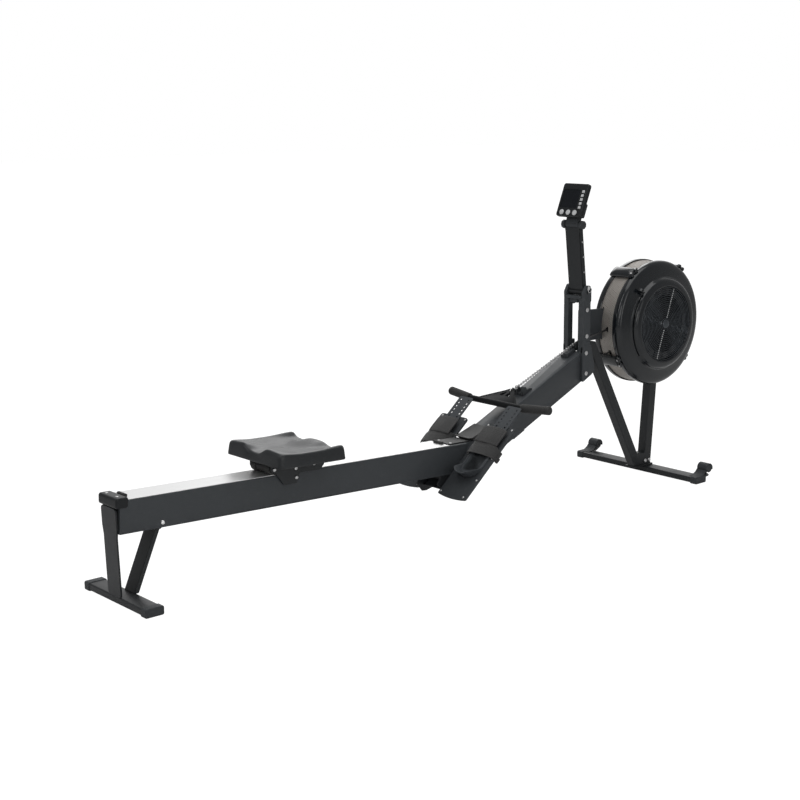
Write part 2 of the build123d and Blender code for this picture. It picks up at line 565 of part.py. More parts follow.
def chain_inner():
    """The chain over the guide roller, round the sprocket and back into the beam."""
    top, low = top_run_angle(), low_run_angle()
    over = tangent(GUIDE_X, GUIDE_Z, GUIDE_PITCH_R, 90 + top)
    crest = tangent(AXLE_X, AXLE_Z, CHAIN_PITCH_R, 90 + top)
    under = tangent(AXLE_X, AXLE_Z, CHAIN_PITCH_R, low - 90)
    join = (CORD_START, under[1] - (under[0] - CORD_START) * tan(radians(low)))
    chain = chain_bar(over, crest) + chain_bar(join, under)
    chain += chain_wrap(GUIDE_X, GUIDE_Z, GUIDE_PITCH_R, 90 + top, pull_angle() - top)
    return chain + chain_wrap(AXLE_X, AXLE_Z, CHAIN_PITCH_R, low - 90, 180 + top - low)


def bungee_cord():
    """The elastic return cord inside the beam, doubled round its post."""
    low = low_run_angle()
    under = tangent(AXLE_X, AXLE_Z, CHAIN_PITCH_R, low - 90)
    join_z = under[1] - (under[0] - CORD_START) * tan(radians(low))
    start = tangent(CORD_X, CORD_Z, CORD_PITCH_R, 90 + low)
    end = tangent(CORD_X, CORD_Z, CORD_PITCH_R, 270 + low)
    rise = (CORD_ANCHOR - end[0]) * tan(radians(low))
    cord = rod((start[0], 0, start[1]), (CORD_START, 0, join_z), CORD_R)
    cord += rod((end[0], 0, end[1]), (CORD_ANCHOR, 0, end[1] + rise), CORD_R)
    axis = Axis((CORD_X, 0, CORD_Z), (0, 1, 0))
    section = Pos(CORD_X + CORD_PITCH_R, 0, CORD_Z) * Circle(CORD_R)
    wrap = revolve(section.rotate(axis, -(270 + low)), axis, 180)
    hook = box((CORD_ANCHOR, CORD_ANCHOR + 14), (-5, 5), (end[1] + rise - 6, end[1] + rise + 6))
    return cord + wrap + hook


# ---- handle ----

def grip_end(side, reach):
    turn = radians(GRIP_SWEEP)
    return (reach * sin(turn), side * (BAR_BEND + reach * cos(turn)), 0)


def handle_bar():
    """The steel bar with its webbed yoke, which narrows to the swivel."""
    bar = y_rod(0, 0, BAR_R, (-BAR_BEND, BAR_BEND))
    for side in (-1, 1):
        bar += rod((0, side * BAR_BEND, 0), grip_end(side, GRIP_LENGTH - 4), BAR_R)
        bar += Pos(0, side * BAR_BEND, 0) * Sphere(BAR_R)
    yoke = [(0, 100), (8, 100), (84, 17), (100, 12), (100, -12), (84, -17), (8, -100), (0, -100)]
    web = top_prism(yoke, (-5, 5))
    for side in (-1, 1):
        web -= top_prism([(18, side * 9), (18, side * 72), (72, side * 12), (72, side * 9)], (-6, 6))
    return on_handle(bar + web)


def handle_grips():
    """The two rubber sleeves, with their round ends."""
    grips = []
    for side in (-1, 1):
        start, end = grip_end(side, 1.5), grip_end(side, GRIP_LENGTH)
        grip = rod(start, end, GRIP_R)
        grip = fillet(grip.edges().filter_by(GeomType.CIRCLE), 6)
        grips.append(on_handle(grip - rod(grip_end(side, -2), grip_end(side, GRIP_LENGTH - 4), BAR_R)))
    return grips


def chain_swivel():
    """The ring and pin between the yoke and the chain."""
    pin = rod((94, 0, 0), (SWIVEL_REACH - 0.5, 0, 0), 3.5)
    return on_handle(pin + Pos(91, 0, 0) * Rot(90, 0, 0) * Torus(10.5, 2.4)) - on_handle(
        top_prism([(0, 100), (100, 12), (100, -12), (0, -100)], (-5, 5)))


def handle_rest():
    """The horned catch on the beam in front of the handle's tip, with a slot for the chain."""
    foot, horn = 1684, 1716
    points = [(foot, beam_top(foot)), (horn + 14, beam_top(horn + 14)), (horn + 14, beam_top(horn + 14) + 4),
              (horn, beam_top(horn) + 12), (foot + 12, beam_top(foot) + 34), (foot, beam_top(foot) + 34)]
    return side_prism(points, (-22, 22)) - box((1660, 1760), (-8, 8), (beam_top(foot) + 12, 500))


# ---- footrests ----

def footboard():
    length, width = BOARD_LENGTH + 8, BOARD_OUTER - BOARD_INNER
    middle = ((BOARD_LENGTH - 8) / 2, (BOARD_OUTER + BOARD_INNER) / 2, -BOARD_THICK)
    plate = Pos(*middle) * extrude(RectangleRounded(length, width, 14), BOARD_THICK)
    plate = fillet(plate.edges().group_by(Axis.Z)[-1], 2)
    return on_board(plate)


def footboard_bracket():
    """The cross plate and gussets that hold the boards, and the pad under the beam."""
    plate = on_board(box((18, 70), (-150, 150), (-BOARD_THICK - 4, -BOARD_THICK)))
    inner, outer = 51.2, 56.0
    bracket = plate
    for side in (-1, 1):
        gusset = on_board(box((60, 172), (side * inner, side * outer), (-40, -BOARD_THICK)))
        bracket += gusset
    spine = side_prism([(1284, 150), (1296, 150), (1330, 180), (1284, 180)], (-30, 30))
    bracket += spine - rail_envelope()
    pad = side_prism([(1622, beam_under(1622)), (1690, beam_under(1690)), (1684, beam_under(1684) - 9),
                      (1630, beam_under(1630) - 9)], (-30, 30))
    return [bracket, pad]


def heel_plate(side):
    """The heel cup on its drilled tongue, which slides along the board."""
    y = side * HEEL_Y
    cup_x, wall, lift = 87 + HEEL_R, 4, 0.5
    tongue = box((cup_x - 20, TONGUE_END), (y - TONGUE_HALF, y + TONGUE_HALF), (lift, lift + 3))
    tongue = fillet(tongue.edges().filter_by(Axis.Z), 6)
    floor = Pos(cup_x, y, lift) * extrude(Circle(HEEL_R), 3) + box(
        (cup_x, cup_x + 42), (y - HEEL_R, y + HEEL_R), (lift, lift + 3))
    side_wall = box((cup_x, cup_x + 42), (y - HEEL_R, y + HEEL_R), (lift, HEEL_RIM))
    side_wall -= side_prism([(cup_x + 8, HEEL_RIM + 1), (cup_x + 44, 12), (cup_x + 44, HEEL_RIM + 1)], (-400, 400))
    cup = Pos(cup_x, y, lift) * extrude(Circle(HEEL_R), HEEL_RIM - lift) + side_wall
    hollow = Pos(cup_x, y, lift) * extrude(Circle(HEEL_R - wall), 60)
    hollow += box((cup_x, cup_x + 60), (y - HEEL_R + wall, y + HEEL_R - wall), (0, 60))
    cup -= hollow
    plate = tongue + floor + cup
    for row in (-20, 20):
        for step in range(13):
            x = TONGUE_END - 14 - step * HOLE_PITCH
            plate -= Pos(x, y + row, 0) * Cylinder(4, 20)
    return on_board(plate)


def foot_strap():
    """The band over the foot, held down outside the board, with its flap."""
    band = [(60, 2), (66, 11), (86, 17), (166, 17), (192, 9), (200, -14),
            (197, -14), (189.8, 7), (165, 14), (87, 14), (68, 9), (63, 2)]
    strap = end_prism(band, (179, 238))
    return on_board(strap + box((236, 298), (66, 168), (14, 18)))


# ---- seat ----

def seat_section(x, edge, middle):
    """A slice across the seat: the height at its sides and at its middle."""
    half, base = SEAT_WIDTH / 2, SEAT_BASE
    crest, crown = edge + 3, (2 * edge + middle) / 3
    start, end = (-half, edge - 6), (half, edge - 6)
    plane = Plane(origin=(x, 0, 0), x_dir=(0, 1, 0), z_dir=(1, 0, 0))
    top = Spline(start, (-half + 26, crest), (-half * 0.45, crown), (0, middle), (half * 0.45, crown),
                 (half - 26, crest), end)
    sides = Polyline(end, (half - 8, base), (8 - half, base), start)
    return plane * make_face(Curve() + [top, sides])


def seat_pad():
    """The moulded saddle: raised corners behind, a pommel in front."""
    rear, front = SEAT_X - SEAT_LENGTH / 2, SEAT_X + SEAT_LENGTH / 2
    slices = [seat_section(rear, 86, 70), seat_section(rear + 55, 84, 66),
              seat_section(SEAT_X + 30, 78, 72), seat_section(front, 79, 88)]
    outline = extrude(Pos(SEAT_X, 0, 0) * RectangleRounded(SEAT_LENGTH, SEAT_WIDTH, 26), 150)
    return on_rail(loft(slices) & outline)


def roller_xs():
    return [SEAT_X + reach for reach in ROLLERS_AT]


def seat_carriage():
    """The folded plate under the seat, its side plates, axles and guide pads."""
    roof = SEAT_BASE - CARRIAGE_PLATE
    rear, front = SEAT_X - 108, SEAT_X + 112
    carriage = box((rear, front), (-57, 57), (roof, SEAT_BASE))
    side = [(rear, roof), (front, roof), (front, 20), (front - 20, 4), (SEAT_X + 20, 4),
            (SEAT_X + 2, -37), (SEAT_X - 46, -37), (SEAT_X - 96, 4), (rear, 16)]
    for face in (-1, 1):
        carriage += side_prism(side, (face * 54, face * 57))
        carriage += box((SEAT_X - 44, SEAT_X - 2), (face * 51.6, face * 54), (-34, -20))
        for x, z in ((SEAT_X - 2, 12), (SEAT_X + 1, -18)):
            carriage += y_rod(x, z, 6, (face * 57, face * 60.5))
        for x in roller_xs():
            carriage += y_rod(x, ROLLER_R + 0.05, 7, (face * 57, face * 60.5))
    for x in roller_xs():
        carriage += y_rod(x, ROLLER_R + 0.05, ROLLER_AXLE_R, (-57, 57))
    return on_rail(carriage)


def seat_roller(x):
    roller = y_ring(x, ROLLER_R + 0.05, ROLLER_R, ROLLER_AXLE_R + RUNNING_GAP, (-49, 49))
    return on_rail(roller)


# ---- monitor ----

def monitor_arm():
    """The folded channel that carries the monitor, on its own hinge barrel."""
    base = y_rod(0, 0, 11.4, (-37, 37))
    channel = box((-9, 11), (-ARM_HALF, ARM_HALF), (0, ARM_HEIGHT - 26))
    channel -= box((-6, 20), (3 - ARM_HALF, ARM_HALF - 3), (14, ARM_HEIGHT + 9))
    arm = base + channel
    for side in (-1, 1):
        y = (side * (ARM_HALF - 4), side * ARM_HALF)
        arm += box((-9, 11), y, (ARM_HEIGHT - 27, ARM_HEIGHT)) + y_rod(0, ARM_HEIGHT, 13, y)
        for z in (ARM_HEIGHT - 64, ARM_HEIGHT - 120, ARM_HEIGHT - 176):
            arm += y_rod(3, z, 3, (side * ARM_HALF, side * (ARM_HALF + 1.6)))
    arm -= y_rod(0, ARM_HEIGHT, PIN_R + RUNNING_GAP, (-60, 60))
    arm -= y_rod(0, 0, PIN_R + RUNNING_GAP, (-60, 60))
    slot = make_face(Polyline((LOCK_SWING - 3.5, -40), (LOCK_SWING + 3.5, -40),
                              (LOCK_SWING + 3.5, -30), (LOCK_SWING - 3.5, -30), close=True))
    return on_arm(arm - revolve(slot.rotate(Axis.Y, 20), Axis.Y, -116))


def lock_hole():
    return y_rod(*LOCK_PLACE, LOCK_R + RUNNING_GAP, (-60, -30))


def lock_pin():
    """The clamp pin through the post that keeps the arm up, with its ring."""
    pin = y_rod(*LOCK_PLACE, LOCK_R, (-58, -31)) + y_rod(*LOCK_PLACE, 6.5, (-56, -51))
    ring = Pos(LOCK_PLACE[0], -58, LOCK_PLACE[1] - 7) * Rot(90, 0, 0) * Torus(9, 1.4)
    return on_arm(pin + ring)


def pivot_knobs():
    """The clamping spindle through the arm and the monitor's barrel, with a knob at each end."""
    spindle = y_rod(0, 0, PIN_R, (-40, 40))
    for side in (-1, 1):
        knob = y_rod(0, 0, 16, (side * 35.4, side * 50))
        knob = fillet(knob.edges().filter_by(GeomType.CIRCLE), 2)
        spindle += knob
    return on_monitor(spindle)


def monitor_case():
    """The front shell with its window and the wells of its buttons."""
    low, high = FACE_LOW, FACE_HIGH
    shell = box((FACE_X, CASE_BACK), (-FACE_HALF, FACE_HALF), (low, high))
    shell = fillet(shell.edges().filter_by(Axis.X), 9)
    shell = chamfer(shell.edges().group_by(Axis.X)[0], 4)
    shell -= box((FACE_X + 4, CASE_BACK + 1), (4 - FACE_HALF, FACE_HALF - 4), (low + 4, high - 4))
    shell -= box((FACE_X - 1, FACE_X + 9), SCREEN_Y, SCREEN_Z)
    for number in range(3):
        shell -= rod(*button_line(number, 9), BUTTON_R + 0.3)
    for number in range(KEY_COUNT):
        shell -= key_block(number, 0.3, 9)
    return on_monitor(shell)


def button_line(number, depth):
    y = BUTTON_YS[number]
    return (FACE_X - 1.6, y, BUTTON_Z), (FACE_X + depth, y, BUTTON_Z)


def round_button(number):
    return on_monitor(rod(*button_line(number, 6), BUTTON_R))


def key_block(number, gap, depth):
    z = KEY_LOW + number * KEY_STEP
    return box((FACE_X - 1.2, FACE_X + depth), (KEY_Y - KEY_HALF_Y - gap, KEY_Y + KEY_HALF_Y + gap),
               (z - KEY_HALF_Z - gap, z + KEY_HALF_Z + gap))


def side_key(number):
    return on_monitor(key_block(number, 0, 6))


def monitor_screen():
    return on_monitor(box((FACE_X + 0.6, FACE_X + 4), SCREEN_Y, SCREEN_Z))


def monitor_back():
    """The rear cover, its battery box and the barrel that the knobs clamp."""
    cover = box((CASE_BACK, CASE_BACK + 3), (3 - FACE_HALF, FACE_HALF - 3), (FACE_LOW + 3, FACE_HIGH - 3))
    cover += box((CASE_BACK, CASE_BACK + 22), (-48, 48), (FACE_LOW + 6, FACE_LOW + 60))
    cover += box((-14, 2), (-30, 30), (0, FACE_LOW + 20)) + y_rod(0, 0, 11.5, (-30.6, 30.6))
    return on_monitor(cover - y_rod(0, 0, PIN_R + RUNNING_GAP, (-60, 60)))


def frame_nodes():
    save("rear_foot_bar", rear_foot_bar())
    save("front_foot_bar", front_foot_bar())
    save("foot_end_caps", *both_sides(rear_cap), *both_sides(front_cap))
    save("rear_upright", rear_upright())
    save("rear_brace", rear_brace())
    save("rail_beam", rail_beam())
    save("rail_track", rail_track())
    save("rail_end_cap", rail_end_cap())
    save("seat_stops", seat_stop(TRACK_START + 1), seat_stop(1285))
    save("joint_cover_plate", *joint_cover_plate())
    save("main_beam", main_beam())
    save("post_side_plates", *post_plates())
    save("chain_guide", chain_guide())
    save("flywheel_plate", flywheel_plate())
    save("axle_bearings", *axle_bearings())
    save("front_leg", front_leg())
    save("rear_leg", rear_leg())
    save("frame_bolts", *frame_bolts())
    save("transport_wheel_left", transport_wheel(1))
    save("transport_wheel_right", transport_wheel(-1))


def cage_nodes():
    save("cage_left_cover", cage_left_cover())
    save("cage_band", cage_band())
    save("cage_right_cover", cage_right_cover())
    save("cage_clamps", *cage_clamps())
    save("intake_grille", intake_grille())
    save("damper", damper())
    save("flywheel", flywheel())
    save("axle_shaft", y_rod(AXLE_X, AXLE_Z, AXLE_R, (-76, 42)))
    save("sprocket", sprocket())
    save("guide_roller", guide_roller())
    save("chain_pull", chain_pull())
    save("chain_inner", chain_inner())
    save("bungee_cord", bungee_cord())


def rower_nodes():
    save("footboards", *both_sides(footboard))
    save("footboard_bracket", *footboard_bracket())
    save("foot_straps", *both_sides(foot_strap))
    save("heel_plate_left", heel_plate(1))
    save("heel_plate_right", heel_plate(-1))
    save("seat_pad", seat_pad())
    save("seat_carriage", seat_carriage())
    save("seat_roller_rear", seat_roller(roller_xs()[0]))
    save("seat_roller_front", seat_roller(roller_xs()[1]))
    save("handle_bar", handle_bar())
    save("handle_grips", *handle_grips())
    save("chain_swivel", chain_swivel())
    save("handle_rest", handle_rest())


def monitor_nodes():
    save("monitor_arm", monitor_arm())
    save("lock_pin", lock_pin())
    save("pivot_knobs", pivot_knobs())
    save("monitor_case", monitor_case())
    save("monitor_back", monitor_back())
    save("monitor_screen", monitor_screen())
    for number in range(3):
        save(f"round_button_{number + 1}", round_button(number))
    for number in range(KEY_COUNT):
        save(f"side_key_{number + 1}", side_key(number))


os.makedirs("parts", exist_ok=True)
frame_nodes()
cage_nodes()
rower_nodes()
monitor_nodes()
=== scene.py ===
"""Looks of an air rowing machine: shells, chain, fan cage, footrests and finishes on its CAD frame."""

import json
import logging
import math
from dataclasses import dataclass
from enum import Enum
from typing import Sequence

import bmesh
import bpy
from mathutils import Matrix, Vector


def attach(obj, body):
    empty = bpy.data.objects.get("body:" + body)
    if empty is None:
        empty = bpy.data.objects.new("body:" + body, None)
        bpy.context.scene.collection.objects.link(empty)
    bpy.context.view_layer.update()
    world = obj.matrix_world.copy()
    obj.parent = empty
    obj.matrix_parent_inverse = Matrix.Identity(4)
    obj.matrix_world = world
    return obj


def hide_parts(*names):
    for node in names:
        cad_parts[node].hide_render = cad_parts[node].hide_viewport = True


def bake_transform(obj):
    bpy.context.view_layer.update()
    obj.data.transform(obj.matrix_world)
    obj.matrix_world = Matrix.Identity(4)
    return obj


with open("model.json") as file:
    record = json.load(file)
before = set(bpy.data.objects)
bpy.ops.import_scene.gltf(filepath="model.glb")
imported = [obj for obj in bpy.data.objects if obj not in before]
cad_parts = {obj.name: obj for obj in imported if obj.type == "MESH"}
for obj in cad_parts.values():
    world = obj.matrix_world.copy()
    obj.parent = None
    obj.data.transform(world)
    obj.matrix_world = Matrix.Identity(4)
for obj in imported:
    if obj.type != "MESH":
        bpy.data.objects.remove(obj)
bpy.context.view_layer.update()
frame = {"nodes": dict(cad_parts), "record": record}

LOG = logging.getLogger("rower")
Point = tuple[float, float, float]
Flat = tuple[float, float]
Spot = tuple[Vector, Vector, Vector]
MM = 0.001
MIDDLE_X = 1313.6044604
RAIL_TOP, RAIL_SLOPE = 322.6, 0.0361
FINE_TURN, COARSE_TURN = range(0, 360, 12), range(0, 360, 24)


def place(x: float, y: float, z: float) -> Vector:
    """Turns drawing millimetres, X from the rear foot, into metres in the row frame."""
    return Vector(((x - MIDDLE_X) * MM, y * MM, z * MM))


def tilt(x: float, z: float, degrees: float) -> Matrix:
    """Returns a frame at X, Z in drawing millimetres, leaning about the Y axis.

    Args:
        x: Origin along the machine.
        z: Origin above the floor.
        degrees: Turn about +Y by the right-hand rule.

    Returns:
        A matrix from local metres to the row frame.
    """
    return Matrix.Translation(place(x, 0, z)) @ Matrix.Rotation(math.radians(degrees), 4, "Y")


DRAWN = Matrix.Translation(place(0, 0, 0))
RAIL = tilt(0, 324.6, math.degrees(math.atan(RAIL_SLOPE)))
BOARD = tilt(1239, 123.5, -40.8)
HANDLE = tilt(1566, 382.5, -21)
ARM_X, ARM_Z, ARM_LEAN, ARM_HEIGHT = 1991.0, 744.0, 6.4, 251.6
ARM = tilt(ARM_X, ARM_Z, -ARM_LEAN)
PIVOT_X = ARM_X - ARM_HEIGHT * math.sin(math.radians(ARM_LEAN))
PIVOT_Z = ARM_Z + ARM_HEIGHT * math.cos(math.radians(ARM_LEAN))
MONITOR = tilt(PIVOT_X, PIVOT_Z, 22)
AXLE_X, AXLE_Z = 2395.0, 590.0
AXLE = tilt(AXLE_X, AXLE_Z, 0)


# ---- node trees ----

class Socket:
    """A node's output that takes part in Python expressions."""

    def __init__(self, tree: "Tree", link: bpy.types.NodeSocket) -> None:
        """Holds one output socket of a tree."""
        self.tree, self.link = tree, link

    def maths(self, operation: str, *values: "Socket | float") -> "Socket":
        """Adds a Math node over this socket and the given values."""
        return self.tree.add("ShaderNodeMath", {"operation": operation}, dict(enumerate((self, *values))))

    def __add__(self, other: "Socket | float") -> "Socket":
        """Returns the sum."""
        return self.maths("ADD", other)

    def __mul__(self, other: "Socket | float") -> "Socket":
        """Returns the product."""
        return self.maths("MULTIPLY", other)

    __radd__, __rmul__ = __add__, __mul__

    def sine(self) -> "Socket":
        """Returns the sine."""
        return self.maths("SINE")

    def steps(self, low: float, high: float) -> "Socket":
        """Fades from 0 at one value to 1 at another.

        Args:
            low: Value that gives 0.
            high: Value that gives 1.

        Returns:
            The clamped fade.
        """
        return self.tree.add("ShaderNodeMapRange", {"interpolation_type": "SMOOTHSTEP"},
                             {"Value": self, "From Min": low, "From Max": high})


class Tree:
    """A node tree of any kind, written from Python."""

    def __init__(self, tree: bpy.types.NodeTree) -> None:
        """Takes the tree that is written to."""
        self.tree = tree

    def feed(self, socket: bpy.types.NodeSocket, value: object) -> None:
        """Links or sets one input socket.

        Args:
            socket: The input.
            value: A Socket, a list of them, or a plain value.
        """
        if isinstance(value, list):
            for each in value:
                self.feed(socket, each)
        elif isinstance(value, Socket):
            self.tree.links.new(value.link, socket)
        else:
            socket.default_value = value

    def add(self, kind: str, settings: dict, inputs: dict, output: int | str | None = 0) -> Socket | None:
        """Adds one node.

        Args:
            kind: Node type.
            settings: Properties, which are set first.
            inputs: Values or links by input name or index.
            output: The output to return, or None where the node has none.

        Returns:
            The output as a Socket.
        """
        node = self.tree.nodes.new(kind)
        for key, value in settings.items():
            setattr(node, key, value)
        for key, value in inputs.items():
            self.feed(node.inputs[key], value)
        return None if output is None else Socket(self, node.outputs[output])


# ---- finishes ----

class Paint(Tree):
    """A material's tree round its main shader."""

    def __init__(self, name: str) -> None:
        """Makes a material with its output and shader.

        Args:
            name: Name of the material.
        """
        self.material = bpy.data.materials.new(name)
        self.material.use_nodes = True
        super().__init__(self.material.node_tree)
        self.shader = self.tree.nodes["Principled BSDF"]
        self.place = self.add("ShaderNodeTexCoord", {}, {}, "Object")

    def stretched(self, scale: Point) -> Socket:
        """Returns object coordinates, scaled per axis."""
        return self.add("ShaderNodeMapping", {}, {"Vector": self.place, "Scale": scale})

    def noise(self, scale: float, detail: float = 3, where: Socket | None = None) -> Socket:
        """Returns fractal noise, from 0 to 1.

        Args:
            scale: Features per metre.
            detail: Number of finer layers.
            where: Coordinates, or None for the object's own.

        Returns:
            The noise value.
        """
        return self.add("ShaderNodeTexNoise", {}, {"Vector": where or self.place, "Scale": scale,
                                                   "Detail": detail})

    def mix(self, factor: Socket | float, low: Socket | Point, high: Socket | Point) -> Socket:
        """Mixes two colours.

        Args:
            factor: 0 for the first, 1 for the second.
            low: First colour, a Socket or three numbers.
            high: Second colour.

        Returns:
            The mixed colour.
        """
        a, b = (c if isinstance(c, Socket) else (*c, 1) for c in (low, high))
        return self.add("ShaderNodeMix", {"data_type": "RGBA"}, {0: factor, 6: a, 7: b}, 2)

    def bump(self, height: Socket, depth: float) -> None:
        """Raises the surface by a height map of about 0 to 1 and a depth in metres."""
        normal = self.add("ShaderNodeBump", {}, {"Height": height, "Distance": depth, "Strength": 1.0})
        self.feed(self.shader.inputs["Normal"], normal)

    def set(self, **values: object) -> None:
        """Sets the main shader's inputs; an underscore stands for a space."""
        for key, value in values.items():
            self.feed(self.shader.inputs[key.replace("_", " ")], value)


def grey(value: float, warm: float = 0.0) -> Point:
    """Returns a near-neutral colour; warm above zero leans to red, below to blue."""
    return (value * (1 + warm), value, value * (1 - warm))


@dataclass(frozen=True)
class Coating:
    """A painted, moulded or rubbery surface with fine texture, dust and soft wear."""

    name: str
    shade: float
    rough: float = 0.4
    grain: float = 900.0
    depth: float = 0.00006
    warm: float = -0.10
    metallic: float = 0.0
    coat: float = 0.0
    dust: float = 0.12
    shine: float = 0.3

    def make(self) -> bpy.types.Material:
        """Builds the material.

        Returns:
            The new material.
        """
        paint = Paint(self.name)
        fine = paint.noise(self.grain, 2)
        broad = paint.noise(9, 4)
        dirt = paint.noise(60, 5).steps(0.5, 0.8) * self.dust
        colour = paint.mix(broad, grey(self.shade * 0.86, self.warm), grey(self.shade * 1.14, self.warm))
        paint.set(Base_Color=paint.mix(dirt, colour, grey(self.shade * 1.9 + 0.01, 0.02)),
                  Roughness=broad * 0.12 + (self.rough - 0.06) + dirt * 0.6, Metallic=self.metallic,
                  Coat_Weight=self.coat, Coat_Roughness=0.12, Specular_IOR_Level=self.shine)
        paint.bump(fine, self.depth)
        return paint.material


@dataclass(frozen=True)
class Brushed:
    """Bare metal with brushing along one axis."""

    name: str
    shade: float
    rough: float = 0.28
    along: Point = (6, 900, 900)

    def make(self) -> bpy.types.Material:
        """Builds the material.

        Returns:
            The new material.
        """
        paint = Paint(self.name)
        streaks = paint.noise(1, 3, paint.stretched(self.along))
        blotch = paint.noise(14, 3)
        paint.set(Base_Color=paint.mix(streaks, grey(self.shade * 0.82), grey(self.shade * 1.1)),
                  Roughness=streaks * 0.16 + blotch * 0.08 + (self.rough - 0.12), Metallic=1.0)
        paint.bump(streaks, 0.00003)
        return paint.material


@dataclass(frozen=True)
class Webbing:
    """Woven strap cloth on object coordinates."""

    name: str
    shade: float

    def make(self) -> bpy.types.Material:
        """Builds the material.

        Returns:
            The new material.
        """
        paint = Paint(self.name)
        where = paint.stretched((1, 1, 1))
        x, y, z = (paint.add("ShaderNodeSeparateXYZ", {}, {0: where}, axis) for axis in "XYZ")
        warp = (y * 2600).sine() * 0.5 + 0.5
        weft = ((x + z) * 2100).sine() * 0.5 + 0.5
        weave = warp * weft + paint.noise(500) * 0.3
        paint.set(Base_Color=paint.mix(weave, grey(self.shade * 0.5), grey(self.shade * 1.6)),
                  Roughness=0.85, Sheen_Weight=0.25)
        paint.bump(weave, 0.0005)
        return paint.material


@dataclass(frozen=True)
class Display:
    """A dark display window under clear plastic."""

    name: str

    def make(self) -> bpy.types.Material:
        """Builds the material.

        Returns:
            The new material.
        """
        paint = Paint(self.name)
        haze = paint.noise(25, 2)
        paint.set(Base_Color=paint.mix(haze, (0.004, 0.005, 0.007), (0.007, 0.008, 0.011)),
                  Roughness=0.16 + haze * 0.06, Specular_IOR_Level=0.18)
        return paint.material


class Finish(Enum):
    """The finishes, each made once."""

    FRAME = Coating("frame_powder_coat", 0.044, 0.42, 1400, 0.00004)
    LEG = Coating("leg_powder_coat", 0.018, 0.40, 1400, 0.00004)
    BAR = Coating("handle_paint", 0.008, 0.55, 1200, 0.00003, dust=0.06, shine=0.1)
    COVER = Coating("joint_cover_plastic", 0.034, 0.45, 800, 0.00005, 0.0)
    GLOSS = Coating("cage_moulding", 0.009, 0.17, 700, 0.00002, -0.22, coat=0.35, dust=0.03, shine=0.3)
    CASE = Coating("monitor_moulding", 0.013, 0.38, 900, 0.00003, dust=0.04, shine=0.2)
    MATT = Coating("matt_moulding", 0.036, 0.55, 1600, 0.00010)
    HEEL = Coating("heel_moulding", 0.055, 0.42, 1300, 0.00005)
    SEAT = Coating("seat_moulding", 0.018, 0.36, 700, 0.00003, coat=0.06, dust=0.05, shine=0.3)
    RUBBER = Coating("grip_rubber", 0.028, 0.62, 1900, 0.0002, 0.0)
    CAST = Coating("fan_casting", 0.006, 0.6, 500, 0.0001, shine=0.15)
    KEYS = Coating("key_plastic", 0.50, 0.42, 900, 0.00003, -0.01, dust=0.04)
    PERFORATED = Coating("band_steel", 0.30, 0.45, 900, 0.00003, 0.08, metallic=0.2)
    GRILLE = Coating("grille_wire", 0.085, 0.20, 900, 0.00003, metallic=0.8, dust=0.04, shine=0.5)
    TRACK = Brushed("track_steel", 0.76, 0.40)
    STEEL = Brushed("plain_steel", 0.62, 0.3, (300, 300, 300))
    CHROME = Brushed("bright_plating", 0.85, 0.16, (200, 200, 200))
    CHAIN = Brushed("chain_plating", 0.80, 0.36, (300, 300, 300))
    # The same chain as chain_plating, painted dark as painted shade where it runs inside the post and cage.
    INNER_CHAIN = Brushed("chain_steel", 0.12, 0.42, (300, 300, 300))
    STRAP = Webbing("strap_webbing", 0.020)
    THREAD = Coating("strap_thread", 0.13, 0.8, 2500, 0.00008, 0.0)
    SCREEN = Display("display_window")

    def material(self) -> bpy.types.Material:
        """Returns the built material, made on first use."""
        return bpy.data.materials.get(self.value.name) or self.value.make()


# ---- mesh kit ----

def linked(name: str, data: bpy.types.ID) -> bpy.types.Object:
    """Puts a new object into the scene.

    Args:
        name: Its name.
        data: Its mesh, lamp or camera.

    Returns:
        The object.
    """
    made = bpy.data.objects.new(name, data)
    bpy.context.scene.collection.objects.link(made)
    return made


def baked(piece: bpy.types.Object) -> bpy.types.Mesh:
    """Returns a new mesh of a piece with its modifiers applied."""
    bpy.context.view_layer.update()
    return bpy.data.meshes.new_from_object(piece.evaluated_get(bpy.context.evaluated_depsgraph_get()))


def turns(steps: int) -> list[float]:
    """Returns the even angles of one full turn, in radians."""
    return [2 * math.pi * k / steps for k in range(steps)]


def arc(x: float, y: float, radius: float, angles: Sequence[float]) -> list[Flat]:
    """Returns points on a circle.

    Args:
        x: First coordinate of the middle.
        y: Second coordinate of the middle.
        radius: Radius of the circle.
        angles: Angles in degrees from the first axis towards the second.

    Returns:
        One point for each angle.
    """
    return [(x + radius * math.cos(math.radians(a)), y + radius * math.sin(math.radians(a))) for a in angles]


def sided(side: int, inner: float, outer: float) -> Flat:
    """Returns two Y values on the left (1) or the right (-1), the lower one first."""
    return tuple(sorted((side * inner, side * outer)))


def ramp(share: float) -> float:
    """Returns a share kept between 0 and 1 and eased at both ends."""
    share = min(max(share, 0), 1)
    return share * share * (3 - 2 * share)


def spot(base: Matrix, point: Point, way: Point, side: Point = (1, 0, 0)) -> Spot:
    """Returns place, way and side in the row frame of a point drawn in another frame."""
    turn = base.to_3x3()
    return base @ (Vector(point) * MM), turn @ Vector(way), turn @ Vector(side)


def chamfered(x: Flat, z: Flat, corner: float, steps: int = 4) -> list[Flat]:
    """Draws a rectangle with round corners.

    Args:
        x: Limits along the first axis.
        z: Limits along the second axis.
        corner: Corner radius.
        steps: Facets in each corner.

    Returns:
        The outline.
    """
    out = []
    for cx, cz, start in ((x[1] - corner, z[1] - corner, 0), (x[0] + corner, z[1] - corner, 90),
                          (x[0] + corner, z[0] + corner, 180), (x[1] - corner, z[0] + corner, 270)):
        out += arc(cx, cz, corner, [start + 90 * i / steps for i in range(steps + 1)])
    return out


